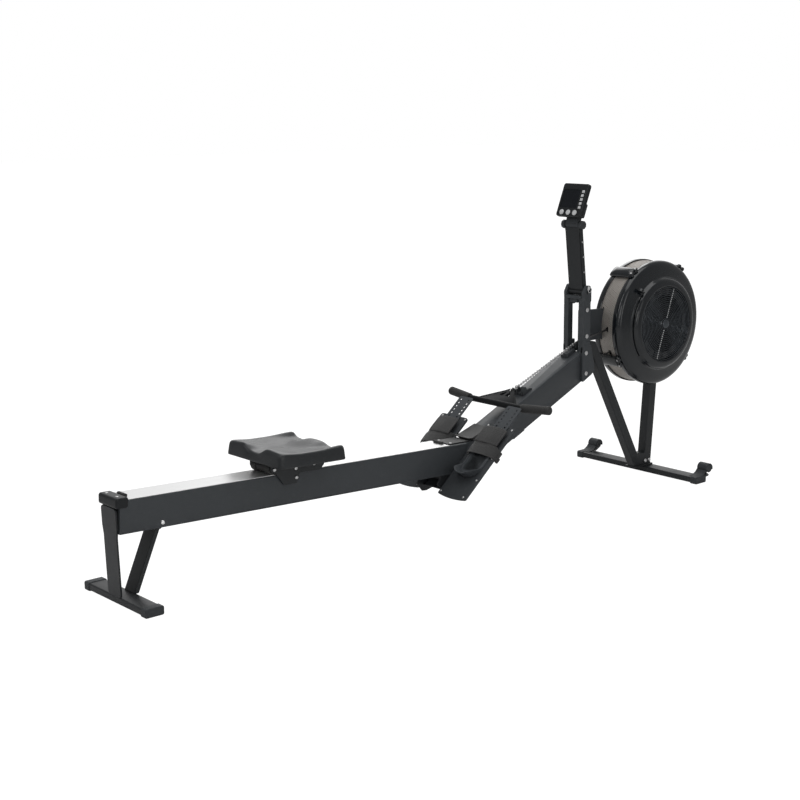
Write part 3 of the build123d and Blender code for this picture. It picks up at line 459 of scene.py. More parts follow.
def eased(outline: Sequence[Flat], radius: float, steps: int = 3) -> list[Flat]:
    """Rounds the corners of a closed outline.

    Args:
        outline: Corner points in order.
        radius: Corner radius, cut down where an edge is short.
        steps: Facets in each corner.

    Returns:
        The rounded outline.
    """
    out = []
    count = len(outline)
    for i, corner in enumerate(outline):
        here = Vector(corner)
        back, ahead = Vector(outline[i - 1]) - here, Vector(outline[(i + 1) % count]) - here
        turn = back.angle(ahead, math.pi)
        if turn > 3.0 or min(back.length, ahead.length) < 0.01:
            out.append(tuple(here))
            continue
        reach = min(radius / math.tan(turn / 2), back.length * 0.45, ahead.length * 0.45)
        first, last = here + back.normalized() * reach, here + ahead.normalized() * reach
        for k in range(steps + 1):
            t = k / steps
            out.append(tuple(first * (1 - t) ** 2 + here * 2 * t * (1 - t) + last * t * t))
    return out


class Shape:
    """Collects the faces of one piece, drawn in millimetres inside a frame."""

    def __init__(self, name: str, base: Matrix = DRAWN) -> None:
        """Starts an empty piece with its name and drawing frame."""
        self.name, self.base, self.mesh = name, base, bmesh.new()

    def at(self, x: float, y: float, z: float) -> Vector:
        """Returns a drawing point in the row frame."""
        return self.base @ Vector((x * MM, y * MM, z * MM))

    def skin(self, rings: Sequence[Sequence[Point]], closed: bool = False, caps: bool = True) -> "Shape":
        """Joins rings of points into a skin.

        Args:
            rings: Rings with the same number of points.
            closed: Joins the last ring to the first.
            caps: Fills both end rings.

        Returns:
            This shape.
        """
        rows = [[self.mesh.verts.new(self.at(*p)) for p in ring] for ring in rings]
        pairs = list(zip(rows, rows[1:])) + ([(rows[-1], rows[0])] if closed else [])
        for low, high in pairs:
            for i in range(len(low)):
                j = (i + 1) % len(low)
                self.mesh.faces.new((low[i], low[j], high[j], high[i]))
        if caps and not closed:
            self.mesh.faces.new(rows[0][::-1])
            self.mesh.faces.new(rows[-1])
        return self

    def prism(self, outline: Sequence[Flat], y: Flat) -> "Shape":
        """Pulls an outline in X and Z across between two Y values."""
        return self.skin([[(x, side, z) for x, z in outline] for side in y])

    def slab(self, outline: Sequence[Flat], z: Flat) -> "Shape":
        """Pulls an outline in X and Y up between two Z values."""
        return self.skin([[(x, y, level) for x, y in outline] for level in z])

    def bar(self, outline: Sequence[Flat], x: Flat) -> "Shape":
        """Pulls an outline in Y and Z along between two X values."""
        return self.skin([[(end, y, z) for y, z in outline] for end in x])

    def box(self, x: Flat, y: Flat, z: Flat) -> "Shape":
        """Adds a block given by its limits."""
        return self.prism([(x[0], z[0]), (x[1], z[0]), (x[1], z[1]), (x[0], z[1])], y)

    def turned(self, profile: Sequence[Flat], x: float = 0, z: float = 0, steps: int = 64) -> "Shape":
        """Turns a closed profile of radius and Y about an axle that runs across.

        Args:
            profile: Closed outline of radius and Y.
            x: Axle's X.
            z: Axle's Z.
            steps: Facets round the turn.

        Returns:
            This shape.
        """
        rings = [[(x + r * math.cos(a), y, z + r * math.sin(a)) for r, y in profile] for a in turns(steps)]
        return self.skin(rings, closed=True)

    def disc(self, radius: float, y: Flat, edge: float, x: float = 0, z: float = 0,
             steps: int = 40) -> "Shape":
        """Adds a cylinder across the machine.

        Args:
            radius: Radius of the cylinder.
            y: Its two ends.
            edge: Size of the eased edges.
            x: Middle's X.
            z: Middle's Z.
            steps: Facets round it.

        Returns:
            This shape.
        """
        ends = [(y[0], radius - edge), (y[0] + edge, radius), (y[1] - edge, radius), (y[1], radius - edge)]
        return self.skin([[(x + r * math.cos(a), side, z + r * math.sin(a)) for a in turns(steps)]
                          for side, r in ends])

    def pipe(self, path: Sequence[Point], radii: Sequence[float] | float, steps: int = 16,
             loop: bool = False) -> "Shape":
        """Sweeps a round section along a path.

        Args:
            path: Points of the centre line.
            radii: Radius at each point, or one for all.
            steps: Facets round the section.
            loop: Joins the end to the start.

        Returns:
            This shape.
        """
        points = [Vector(p) for p in path]
        count = len(points)
        sizes = [radii] * count if isinstance(radii, (int, float)) else list(radii)
        rings, side = [], None
        for i, point in enumerate(points):
            before = points[(i - 1) % count] if loop or i else point
            after = points[(i + 1) % count] if loop or i < count - 1 else point
            along = (after - before).normalized()
            if side is None:
                side = along.cross(Vector((0, 0, 1)) if abs(along.z) < 0.9 else Vector((1, 0, 0)))
            side = (side - along * side.dot(along)).normalized()
            up = side.cross(along)
            rings.append([tuple(point + sizes[i] * (side * math.cos(t) + up * math.sin(t)))
                          for t in turns(steps)])
        return self.skin(rings, closed=loop)

    def rod(self, start: Point, end: Point, radius: float, steps: int = 20, edge: float = 0) -> "Shape":
        """Adds a rod between two points.

        Args:
            start: Middle of one end.
            end: Middle of the other end.
            radius: Radius of the rod.
            steps: Facets round it.
            edge: Size of the eased ends, or 0 for sharp ones.

        Returns:
            This shape.
        """
        a, b = Vector(start), Vector(end)
        if edge == 0:
            return self.pipe([a, b], radius, steps)
        ease = (b - a).normalized() * edge
        return self.pipe([a, a + ease, b - ease, b], [radius - edge, radius, radius, radius - edge], steps)

    def mirrored(self) -> "Shape":
        """Adds the mirror image on the other side of the middle plane.

        Returns:
            This shape.
        """
        whole = self.mesh.verts[:] + self.mesh.edges[:] + self.mesh.faces[:]
        for item in bmesh.ops.duplicate(self.mesh, geom=whole)["geom"]:
            if isinstance(item, bmesh.types.BMVert):
                item.co.y = -item.co.y
        return self

    def object(self, smooth: float = 40) -> bpy.types.Object:
        """Makes the mesh object with outward normals.

        Args:
            smooth: Angle in degrees up to which edges are shaded smooth.

        Returns:
            The linked object.
        """
        bmesh.ops.remove_doubles(self.mesh, verts=self.mesh.verts[:], dist=1e-6)
        bmesh.ops.recalc_face_normals(self.mesh, faces=self.mesh.faces[:])
        data = bpy.data.meshes.new(self.name)
        self.mesh.to_mesh(data)
        self.mesh.free()
        for face in data.polygons:
            face.use_smooth = True
        data.set_sharp_from_angle(angle=math.radians(smooth))
        return linked(self.name, data)

    def bevelled(self, width: float, segments: int = 2, angle: float = 40,
                 smooth: float = 40) -> bpy.types.Object:
        """Makes the mesh object with a live bevel.

        Args:
            width: Width in millimetres.
            segments: Steps across the bevel.
            angle: Angle in degrees over which an edge is bevelled.
            smooth: Angle in degrees up to which edges are shaded smooth.

        Returns:
            The linked object.
        """
        piece = self.object(smooth)
        edge = piece.modifiers.new("edge", "BEVEL")
        edge.width, edge.segments, edge.limit_method = width * MM, segments, "ANGLE"
        edge.angle_limit, edge.harden_normals = math.radians(angle), True
        return piece


def carve(piece: bpy.types.Object, *cutters: bpy.types.Object) -> bpy.types.Object:
    """Cuts other meshes out of a piece and takes them away.

    Args:
        piece: The piece that is cut.
        cutters: Closed meshes.

    Returns:
        The same piece with its new mesh.
    """
    for cutter in cutters:
        cut = piece.modifiers.new("cut", "BOOLEAN")
        cut.operation, cut.object, cut.solver = "DIFFERENCE", cutter, "EXACT"
    data = baked(piece)
    piece.modifiers.clear()
    piece.data = data
    for cutter in cutters:
        bpy.data.objects.remove(cutter)
    data.set_sharp_from_angle(angle=math.radians(40))
    return piece


def joined(name: str, *pieces: bpy.types.Object) -> bpy.types.Object:
    """Joins meshes that sit at the origin into one piece.

    Args:
        name: Name of the result.
        pieces: Meshes with or without live modifiers, which are applied.

    Returns:
        The joined piece.
    """
    whole = bmesh.new()
    for piece in pieces:
        data = baked(piece)
        whole.from_mesh(data)
        bpy.data.meshes.remove(data)
    data = bpy.data.meshes.new(name)
    whole.to_mesh(data)
    whole.free()
    for piece in pieces:
        bpy.data.objects.remove(piece)
    return linked(name, data)


# ---- repeated parts ----

class Repeater(Tree):
    """A geometry node tree with named inputs, whose result becomes a plain mesh."""

    def __init__(self, name: str, inputs: dict[str, str]) -> None:
        """Makes the tree with its sockets.

        Args:
            name: Name of the tree.
            inputs: Socket type by input name.
        """
        super().__init__(bpy.data.node_groups.new(name, "GeometryNodeTree"))
        face = self.tree.interface
        for label, kind in {"Geometry": "Geometry", **inputs, "Finish": "Material"}.items():
            face.new_socket(label, in_out="INPUT", socket_type=f"NodeSocket{kind}")
        face.new_socket("Geometry", in_out="OUTPUT", socket_type="NodeSocketGeometry")

    def given(self, name: str) -> Socket:
        """Returns one of the tree's inputs."""
        return self.add("NodeGroupInput", {}, {}, name)

    def part(self, name: str) -> Socket:
        """Returns the geometry of a part that is one of the inputs."""
        return self.add("GeometryNodeObjectInfo", {"transform_space": "ORIGINAL"},
                        {"Object": self.given(name)}, "Geometry")

    def counted(self) -> Socket:
        """Returns as many points at the origin as the Count input says."""
        return self.add("GeometryNodeMeshLine", {"mode": "OFFSET"},
                        {"Count": self.given("Count"), "Offset": (0, 0, 0)})

    def number(self) -> Socket:
        """Returns each point's number, from 0."""
        return self.add("GeometryNodeInputIndex", {}, {})

    def copies(self, points: Socket, part: Socket, **values: Socket) -> Socket:
        """Sets a part on points.

        Args:
            points: Where the copies go.
            part: Geometry that is repeated.
            values: Rotation, Scale or Selection of each.

        Returns:
            The copies.
        """
        return self.add("GeometryNodeInstanceOnPoints", {}, {"Points": points, "Instance": part, **values})

    def close(self, geometry: Socket) -> "Repeater":
        """Ends the tree in realised geometry with its finish.

        Args:
            geometry: What the tree makes.

        Returns:
            This tree.
        """
        real = self.add("GeometryNodeRealizeInstances", {}, {"Geometry": geometry})
        coated = self.add("GeometryNodeSetMaterial", {}, {"Geometry": real, "Material": self.given("Finish")})
        self.add("NodeGroupOutput", {}, {0: coated}, None)
        return self

    def grow(self, name: str, base: bpy.types.Object, finish: Finish, **values: object) -> bpy.types.Object:
        """Runs the tree on a base mesh and keeps the result as a plain mesh.

        Args:
            name: Name of the new piece.
            base: Points or line to work on; it is used up.
            finish: Finish of the result.
            values: The other inputs; an underscore stands for a space.

        Returns:
            The new piece.
        """
        change = base.modifiers.new("repeat", "NODES")
        change.node_group = self.tree
        wanted = {key.replace("_", " "): value for key, value in values.items()}
        wanted["Finish"] = finish.material()
        for item in self.tree.interface.items_tree:
            if item.in_out == "INPUT" and item.name in wanted:
                change[item.identifier] = wanted[item.name]
        data = baked(base)
        base.modifiers.clear()
        bpy.data.objects.remove(base)
        return linked(name, data)


def scatter_tree() -> Repeater:
    """Sets a part on every point, its Z along the point's "way" and its X near its "side".

    Returns:
        The tree, with the input Part.
    """
    tree = Repeater("parts_on_points", {"Part": "Object"})
    way, side = (tree.add("GeometryNodeInputNamedAttribute", {"data_type": "FLOAT_VECTOR"}, {"Name": label})
                 for label in ("way", "side"))
    upright = tree.add("FunctionNodeAlignRotationToVector", {"axis": "Z"}, {"Vector": way})
    turned = tree.add("FunctionNodeAlignRotationToVector", {"axis": "X", "pivot_axis": "Z"},
                      {"Rotation": upright, "Vector": side})
    return tree.close(tree.copies(tree.given("Geometry"), tree.part("Part"), Rotation=turned))


def ring_tree() -> Repeater:
    """Lays evenly spaced wire rings about the Y axis.

    Returns:
        The tree, with inputs for the number and sizes of the rings.
    """
    tree = Repeater("wire_rings", {"Count": "Int", "First Radius": "Float", "Spacing": "Float",
                                   "Wire Radius": "Float"})
    size = tree.given("First Radius") + tree.number() * tree.given("Spacing")
    hoop = tree.add("GeometryNodeCurvePrimitiveCircle", {}, {"Resolution": 96, "Radius": 1.0})
    hoops = tree.copies(tree.counted(), hoop, Scale=size)
    curves = tree.add("GeometryNodeRealizeInstances", {}, {"Geometry": hoops})
    wire = tree.add("GeometryNodeCurvePrimitiveCircle", {},
                    {"Resolution": 8, "Radius": tree.given("Wire Radius")})
    rings = tree.add("GeometryNodeCurveToMesh", {}, {"Curve": curves, "Profile Curve": wire})
    about_y = (math.pi / 2, 0, 0)
    return tree.close(tree.add("GeometryNodeTransform", {}, {"Geometry": rings, "Rotation": about_y}))


def wheel_tree() -> Repeater:
    """Repeats a part round the Y axis at even steps.

    Returns:
        The tree, with the inputs Part and Count.
    """
    tree = Repeater("parts_round_axle", {"Part": "Object", "Count": "Int"})
    angle = (tree.number() * (2 * math.pi)).maths("DIVIDE", tree.given("Count"))
    turn = tree.add("ShaderNodeCombineXYZ", {}, {"Y": angle})
    rotation = tree.add("FunctionNodeEulerToRotation", {}, {"Euler": turn})
    return tree.close(tree.copies(tree.counted(), tree.part("Part"), Rotation=rotation))


def chain_tree() -> Repeater:
    """Lays roller chain along a line: outer and inner links in turn.

    Returns:
        The tree, with inputs for both links and their number.
    """
    tree = Repeater("roller_chain", {"Outer Link": "Object", "Inner Link": "Object", "Links": "Int"})
    line = tree.add("GeometryNodeMeshToCurve", {}, {"Mesh": tree.given("Geometry")})
    spots = tree.add("GeometryNodeResampleCurve", {"mode": "COUNT"},
                     {"Curve": line, "Count": tree.given("Links")})
    tangent = tree.add("GeometryNodeInputTangent", {}, {})
    turn = tree.add("FunctionNodeAlignRotationToVector", {"axis": "X"}, {"Vector": tangent})
    odd = tree.number().maths("MODULO", 2.0)
    both = []
    for label, test in (("Outer Link", "LESS_THAN"), ("Inner Link", "GREATER_THAN")):
        points = tree.add("GeometryNodeCurveToPoints", {"mode": "EVALUATED"}, {"Curve": spots})
        both.append(tree.copies(points, tree.part(label), Selection=odd.maths(test, 0.5), Rotation=turn))
    return tree.close(tree.add("GeometryNodeJoinGeometry", {}, {0: both}))


def marked(spots: Sequence[Spot]) -> bpy.types.Object:
    """Makes loose points that carry the directions of their parts.

    Args:
        spots: Place in metres, outward way and side of each.

    Returns:
        The mesh of points.
    """
    data = bpy.data.meshes.new("spots")
    data.from_pydata([tuple(point) for point, _, _ in spots], [], [])
    for column, label in enumerate(("way", "side"), 1):
        layer = data.attributes.new(label, "FLOAT_VECTOR", "POINT")
        for number, values in enumerate(spots):
            layer.data[number].vector = values[column]
    return linked("spots", data)


def threaded(path: Sequence[Vector]) -> bpy.types.Object:
    """Makes an open line of edges.

    Args:
        path: Points in metres.

    Returns:
        The mesh of edges.
    """
    data = bpy.data.meshes.new("line")
    data.from_pydata([tuple(p) for p in path], [(i, i + 1) for i in range(len(path) - 1)], [])
    return linked("line", data)


def hexagon_head(across: float = 11.0, height: float = 3.6) -> bpy.types.Object:
    """Draws a hexagon bolt head on its washer.

    Args:
        across: Width across the flats.
        height: Height of the head.

    Returns:
        The loose part.
    """
    head = Shape("hexagon", Matrix())
    for angles, rows in ((range(0, 360, 60), ((0.55, 0.9), (0.56, height - 0.7), (0.48, height))),
                         (range(0, 360, 20), ((0.72, 0), (0.72, 0.8), (0.68, 1.1)))):
        head.skin([[(x, y, z) for x, y in arc(0, 0, across * r, angles)] for r, z in rows])
    return head.object(35)


def button_head(radius: float = 5.0, height: float = 2.2) -> bpy.types.Object:
    """Draws a domed screw head with a hexagon socket.

    Args:
        radius: Radius of the head.
        height: Height of the dome.

    Returns:
        The loose part.
    """
    round_rows = [(1.0, 0.0), (1.0, 0.35), (0.9, 0.7), (0.7, 0.93), (0.45, 1.0)]
    angles = [math.radians(15 * k) for k in range(24)]
    rings = [[(radius * r * math.cos(a), radius * r * math.sin(a), height * z) for a in angles]
             for r, z in round_rows]
    for r, z in ((0.42, 1.0), (0.4, 0.35)):
        flats = [0.866 / math.cos((a % (math.pi / 3)) - math.pi / 6) for a in angles]
        rings.append([(radius * r * h * math.cos(a), radius * r * h * math.sin(a), height * z)
                      for a, h in zip(angles, flats)])
    return Shape("button", Matrix()).skin(rings).object(35)


class Bench:
    """Finishes pieces: repeated parts, material, body and the nodes they stand for."""

    def __init__(self, slots: dict[str, str], owners: dict[str, str]) -> None:
        """Remembers each CAD node's slot and body, and builds the trees.

        Args:
            slots: Material slot by node.
            owners: Body by node.
        """
        self.slots, self.owners = slots, owners
        self.scatter, self.rings = scatter_tree(), ring_tree()
        self.wheel, self.chain = wheel_tree(), chain_tree()

    def fit(self, piece: bpy.types.Object, finish: Finish, body: str = "", slot: str = "",
            span: tuple[str, str, Vector, Vector] | None = None) -> None:
        """Gives a piece its finish and its place in the model.

        Args:
            piece: The finished object; without a body, it stands for the CAD node of its name.
            finish: Its finish.
            body: Body to ride on where it stands for no node.
            slot: Not used.
            span: Two bodies and two points, which are not read; where it is given, the piece's place is baked
                into its mesh and it rides on no body.
        """
        node = piece.name.split(".")[0]
        piece.name = node + "_piece"
        piece.data.materials.clear()
        piece.data.materials.append(finish.material())
        if span:
            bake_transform(piece)
        else:
            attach(piece, body or self.owners[node])
        if not body:
            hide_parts(node)
        LOG.info("%s stands for %s", piece.name, "itself" if body else node)

    def spread(self, name: str, part: bpy.types.Object, spots: Sequence[Spot], finish: Finish,
               body: str = "", slot: str = "") -> None:
        """Repeats a part on points, takes the loose part away and fits the piece.

        Args:
            name: Name of the new piece.
            part: The part, drawn about its own origin with Z outwards.
            spots: Place, way and side of each copy.
            finish: Finish of the piece.
            body: Body to ride on where it stands for no node.
            slot: Passed on to fit, which does not use it.
        """
        piece = self.scatter.grow(name, marked(spots), finish, Part=part)
        bpy.data.objects.remove(part)
        self.fit(piece, finish, body, slot)

    def coat(self, finish: Finish, *nodes: str) -> None:
        """Gives kept CAD nodes a finish.

        Args:
            finish: Their finish.
            nodes: Their names.
        """
        for node in nodes:
            materials = frame["nodes"][node].data.materials
            materials.clear()
            materials.append(finish.material())


# ---- studio ----

@dataclass
class Studio:
    """White floor, soft lamps and the camera."""

    spot: Point = (-2035.96, -3672.5, 1448.99)
    heading: float = 49.36
    dip: float = 11.59
    roll: float = -0.55
    lens: float = 65.94
    near_side: float = 0.25
    far_side: float = 0.96
    bright_way: Point = (0.62, 0.72, 0.31)
    bright_edge: Flat = (0.72, 0.97)
    glossy_lift: float = 0.10
    aim: Point = (0.2, 0, 0.4)
    floor_half: float = 30000.0
    floor_grey: float = 0.82
    floor_glow: float = 1.22
    floor_share: float = 0.84
    lamps: tuple[tuple[float, ...], ...] = (
        (0.3, -0.2, 4.2, 73, 3.6, 3.6), (-2.0, -0.6, 2.7, 12, 0.45, 2.0), (-2.6, -3.2, 1.5, 8, 0.3, 2.6),
        (-1.8, -3.85, 1.75, 14, 0.5, 1.6), (0.6, -3.6, 1.4, 9, 0.35, 2.4), (-3.4, 1.2, 2.2, 14, 1.2, 2.0),
        (2.4, 2.6, 2.6, 20, 2.0, 2.0))

    def camera(self) -> None:
        """Makes the camera."""
        turn, dip, roll = (math.radians(v) for v in (self.heading, self.dip, self.roll))
        look = Vector((math.cos(turn) * math.cos(dip), math.sin(turn) * math.cos(dip), -math.sin(dip)))
        right = look.cross(Vector((0, 0, 1))).normalized()
        up = right.cross(look)
        level = right * math.cos(roll) + up * math.sin(roll)
        top = up * math.cos(roll) - right * math.sin(roll)
        eye = linked("camera", bpy.data.cameras.new("camera"))
        eye.data.lens, eye.data.sensor_width = self.lens, 36
        spin = Matrix((level, top, -look)).transposed().to_4x4()
        eye.matrix_world = Matrix.Translation(place(*self.spot)) @ spin
        bpy.context.scene.camera = eye

    def light(self) -> None:
        """Adds the area lamps."""
        for number, (x, y, z, power, width, height) in enumerate(self.lamps):
            lamp = bpy.data.lights.new(f"lamp_{number}", "AREA")
            lamp.energy, lamp.shape, lamp.size, lamp.size_y = power, "RECTANGLE", width, height
            holder = linked(lamp.name, lamp)
            holder.location = (x, y, z)
            holder.rotation_euler = (Vector(self.aim) - holder.location).to_track_quat("-Z", "Y").to_euler()

    def world(self) -> None:
        """Makes the world: white to the camera, brighter on the far side of the object."""
        world = bpy.data.worlds.new("world")
        bpy.context.scene.world = world
        world.use_nodes = True
        sky = Tree(world.node_tree)
        seen, clear, glossy = (sky.add("ShaderNodeLightPath", {}, {}, f"Is {kind} Ray")
                               for kind in ("Camera", "Transmission", "Glossy"))
        where = sky.add("ShaderNodeTexCoord", {}, {}, "Generated")
        facing = sky.add("ShaderNodeVectorMath", {"operation": "DOT_PRODUCT"}, {0: where, 1: self.bright_way},
                         "Value")
        low, high = self.bright_edge
        around = sky.add("ShaderNodeMapRange", {}, {"Value": facing, "From Min": low, "From Max": high,
                                                    "To Min": self.near_side, "To Max": self.far_side})
        shine = glossy.maths("MULTIPLY_ADD", self.glossy_lift, around)
        white = sky.add("ShaderNodeMix", {}, {0: seen.maths("MAXIMUM", clear), 2: shine, 3: 1.0})
        back = world.node_tree.nodes["Background"]
        sky.feed(back.inputs["Color"], (1, 1, 1, 1))
        sky.feed(back.inputs["Strength"], white)

    def floor(self) -> None:
        """Lays a floor that the camera sees only by its soft shadow."""
        far = self.floor_half
        corners = [(-far, -far), (far, -far), (far, far), (-far, far)]
        ground = Shape("floor").slab(corners, (-2.0, -0.4)).object()
        paint = Paint("floor_white")
        paint.set(Base_Color=(*grey(self.floor_grey), 1), Roughness=0.6)
        glow = paint.add("ShaderNodeEmission", {}, {"Color": (1, 1, 1, 1), "Strength": self.floor_glow})
        amount = paint.add("ShaderNodeLightPath", {}, {}, "Is Camera Ray") * self.floor_share
        shaded = Socket(paint, paint.shader.outputs[0])
        blend = paint.add("ShaderNodeMixShader", {}, {0: amount, 1: shaded, 2: glow})
        paint.feed(paint.tree.nodes["Material Output"].inputs[0], blend)
        ground.data.materials.append(paint.material)

    def build(self) -> None:
        """Builds the studio."""
        self.camera()
        self.light()
        self.world()
        self.floor()


# ---- fasteners ----

@dataclass
class Fasteners:
    """Bolt and screw heads on the frame, and the pins inside it."""

    bench: Bench
    post_half: float = 50.0
    post_spots: tuple[Flat, ...] = ((1990, 680), (1990, 582), (1988, 519), (1989, 442))

    def build(self) -> None:
        """Places every head, and the pins inside the frame."""
        sides, half = (-1, 1), self.post_half
        spots = [spot(DRAWN, (x, s * half, z), (0, s, 0)) for x, z in self.post_spots for s in sides]
        spots += [spot(DRAWN, (x, -43, 45), (0, -1, 0)) for x in (2350, 2374)]
        self.bench.spread("frame_bolts", hexagon_head(), spots, Finish.STEEL)
        spots = [spot(RAIL, (x, y, z), (0, 0, 1)) for x, z in ((8, 6.9), (1320, 2.3)) for y in (-30, 30)]
        self.bench.spread("cover_screws", button_head(), spots, Finish.STEEL, "frame", "zinc")
        spots = [spot(DRAWN, (145, s * half, 232), (0, s, 0)) for s in sides]
        self.bench.spread("rail_bolts", button_head(7.0, 3.6), spots, Finish.CHROME, "frame", "zinc")
        pins = Shape("frame_pins")
        pins.rod((ARM_X, -half, ARM_Z), (ARM_X, half, ARM_Z), 5, edge=0.8)
        pins.rod((1995, -14, 538.4), (1995, 27, 538.4), 4).rod((1640, -36, 325), (1640, 36, 325), 13, 32, 1)
        self.bench.fit(pins.object(), Finish.STEEL, "frame", "zinc")


# ---- the fan and its cage ----

@dataclass
class Cage:
    """The round cage: two moulded covers, the perforated band, clamps, grille and damper."""

    bench: Bench
    cover_steps: int = 144
    band_r: float = 236.2
    band_y: Flat = (-33.0, 41.0)
    band_rows: int = 11
    sheet: float = 1.4
    pitch: float = 7.0
    hole_r: float = 1.6
    chain_ways: Flat = (582.5, 490.0)
    leg_x: Flat = (2363.0, 2413.0)
    clamps: tuple[Point, ...] = ((124, 25, 16), (212, 24, 14), (55, 20, 11), (-40, 13, 3))
    lever_at: float = 135.0
    lever_sweep: float = 80.0
    grille_rings: int = 16
    grille_pitch: float = 7.9
    grille_turn: float = 19.0
    first_ring: float = 22.6
    wire_r: float = 1.5
    screw_y: float = -42.0

    def left_cover(self) -> None:
        """Turns the closed cover, with shallow rings round its centre."""
        outer = [(0, 60), (58, 60), (62, 58.6), (84, 58.6), (88, 60), (150, 60), (153, 59), (157, 59),
                 (160, 60), (204, 60), (214, 61), (224, 64), (231, 65.5), (236, 64.6), (239, 61.5),
                 (240.5, 57), (241, 48), (241, 43), (240.4, 41), (238.8, 40.2)]
        inner = [(237.2, 40.4), (237.2, 46), (228, 54), (0, 55)]
        shell = Shape("cage_left_cover", AXLE).turned(outer + inner, steps=self.cover_steps)
        self.bench.fit(shell.object(30), Finish.GLOSS)

    def right_cover(self) -> None:
        """Turns the stepped cover and cuts the lever's slot."""
        outer = [(238.9, -31), (240.4, -31.8), (241, -33.4), (241, -42), (240.2, -46), (238.4, -50),
                 (235.6, -54), (231.4, -57.6), (225, -60.8), (216, -63.3), (204, -65.6), (184, -69.4),
                 (181.4, -70.2), (179.6, -71.8), (176, -79), (174, -83.2), (171.4, -87), (166.6, -90.4),
                 (160, -92.6), (151, -94), (148, -94), (146, -93.2), (144.6, -91.4), (144.6, -83)]
        inner = [(147.5, -83), (147.5, -89.5), (150.5, -90.5), (164, -88), (171, -82), (177, -67.5),
                 (221, -58), (230, -54), (236, -46), (236.9, -31)]
        shell = Shape("cage_right_cover", AXLE).turned(outer + inner, steps=self.cover_steps)
        spare, count = 4, 24
        rows = []
        for k in range(count + 1):
            a = math.radians(self.lever_at - spare + (self.lever_sweep + 2 * spare) * k / count)
            rows.append([(r * math.cos(a), y, r * math.sin(a)) for r, y in
                         ((161, -80.3), (190, -80.3), (190, -75.7), (161, -75.7))])
        slot = Shape("slot", AXLE).skin(rows)
        self.bench.fit(carve(shell.object(30), slot.object()), Finish.GLOSS)
        lip = Shape("cage_right_rim", AXLE)
        lip.turned([(236.4, -27), (238.6, -27), (238.9, -31), (236.4, -31)], steps=self.cover_steps)
        self.bench.fit(lip.object(30), Finish.MATT, "frame", "black_plastic")

    def open_way(self, angle: float, y: float) -> bool:
        """Says whether a spot on the band is one of its ways in.

        Args:
            angle: Angle round the axle, in radians.
            y: Place across the machine.

        Returns:
            True where the chain, the plate or the leg passes through.
        """
        x, z = AXLE_X + self.band_r * math.cos(angle), AXLE_Z + self.band_r * math.sin(angle)
        chain = x < AXLE_X and abs(y) < 5 and any(abs(z - way) < 8 for way in self.chain_ways)
        plate = x < AXLE_X and 27.5 < y < 34.2 and 544 < z < 664
        leg = self.leg_x[0] < x < self.leg_x[1] and -47 < y < -3 and z < 380
        return chain or plate or leg

    def band(self) -> None:
        """Repeats one drilled tile of sheet steel round the cage."""
        count = round(2 * math.pi * self.band_r / self.pitch)
        along = 2 * math.pi * self.band_r / count / 2
        step = (self.band_y[1] - self.band_y[0]) / self.band_rows
        rim = [(-along, -step / 2), (0, -step / 2), (along, -step / 2), (along, 0), (along, step / 2),
               (0, step / 2), (-along, step / 2), (-along, 0)]
        hole = arc(0, 0, self.hole_r, range(225, 585, 45))
        tile = Shape("tile", Matrix())
        tile.skin([[(x, y, z) for x, y in ring] for ring, z in
                   ((rim, -self.sheet), (hole, -self.sheet), (hole, 0), (rim, 0))], caps=False)
        spots = []
        for row in range(self.band_rows):
            y = self.band_y[0] + step * (row + 0.5)
            for k in range(count):
                a = 2 * math.pi * (k + row % 2 / 2) / count
                if not self.open_way(a, y):
                    out = (math.cos(a), 0, math.sin(a))
                    spots.append(spot(AXLE, (self.band_r * out[0], y, self.band_r * out[2]), out,
                                      (out[2], 0, -out[0])))
        self.bench.spread("cage_band", tile.object(30), spots, Finish.PERFORATED)

    def bridges(self) -> None:
        """Makes the bridges that clamp the two covers together, and their screws."""
        made, screws = [], []
        for angle, half, high in self.clamps:
            base = AXLE @ Matrix.Rotation(-math.radians(angle), 4, "Y")
            rings = []
            for y, swell, width in ((-44, 0.25, 0.80), (-43, 0.45, 0.92), (-38, 0.85, 1.0), (-30, 0.96, 1.0),
                                    (0, 1.0, 1.0), (40, 0.96, 1.0), (56, 0.85, 1.0), (62, 0.5, 0.94),
                                    (64, 0.25, 0.84)):
                arch = [(242.8 + swell * high * math.sin(math.radians(t)) ** 0.7,
                         y, -width * half * math.cos(math.radians(t))) for t in range(0, 181, 15)]
                rings.append(arch + [(242.4, y, width * half), (242.4, y, -width * half)])
            made.append(Shape("bridge", base).skin(rings).object(45))
            boss, rise = Shape("boss", base), high * 0.6
            for s in (-1, 1):
                z = s * half * 0.55
                boss.skin([[(r, y, across) for y, across in arc(self.screw_y, z, f, COARSE_TURN)]
                           for r, f in ((243, 8.5), (244 + rise, 8.5), (246 + rise, 7.4), (246.6 + rise, 5))])
                screws.append(spot(base, (246.6 + rise, self.screw_y, z), (1, 0, 0), (0, 1, 0)))
            made.append(boss.object(50))
        self.bench.fit(joined("cage_clamps", *made), Finish.GLOSS)
        self.bench.spread("clamp_screws", button_head(3.4, 1.5), screws, Finish.STEEL, "frame", "zinc")

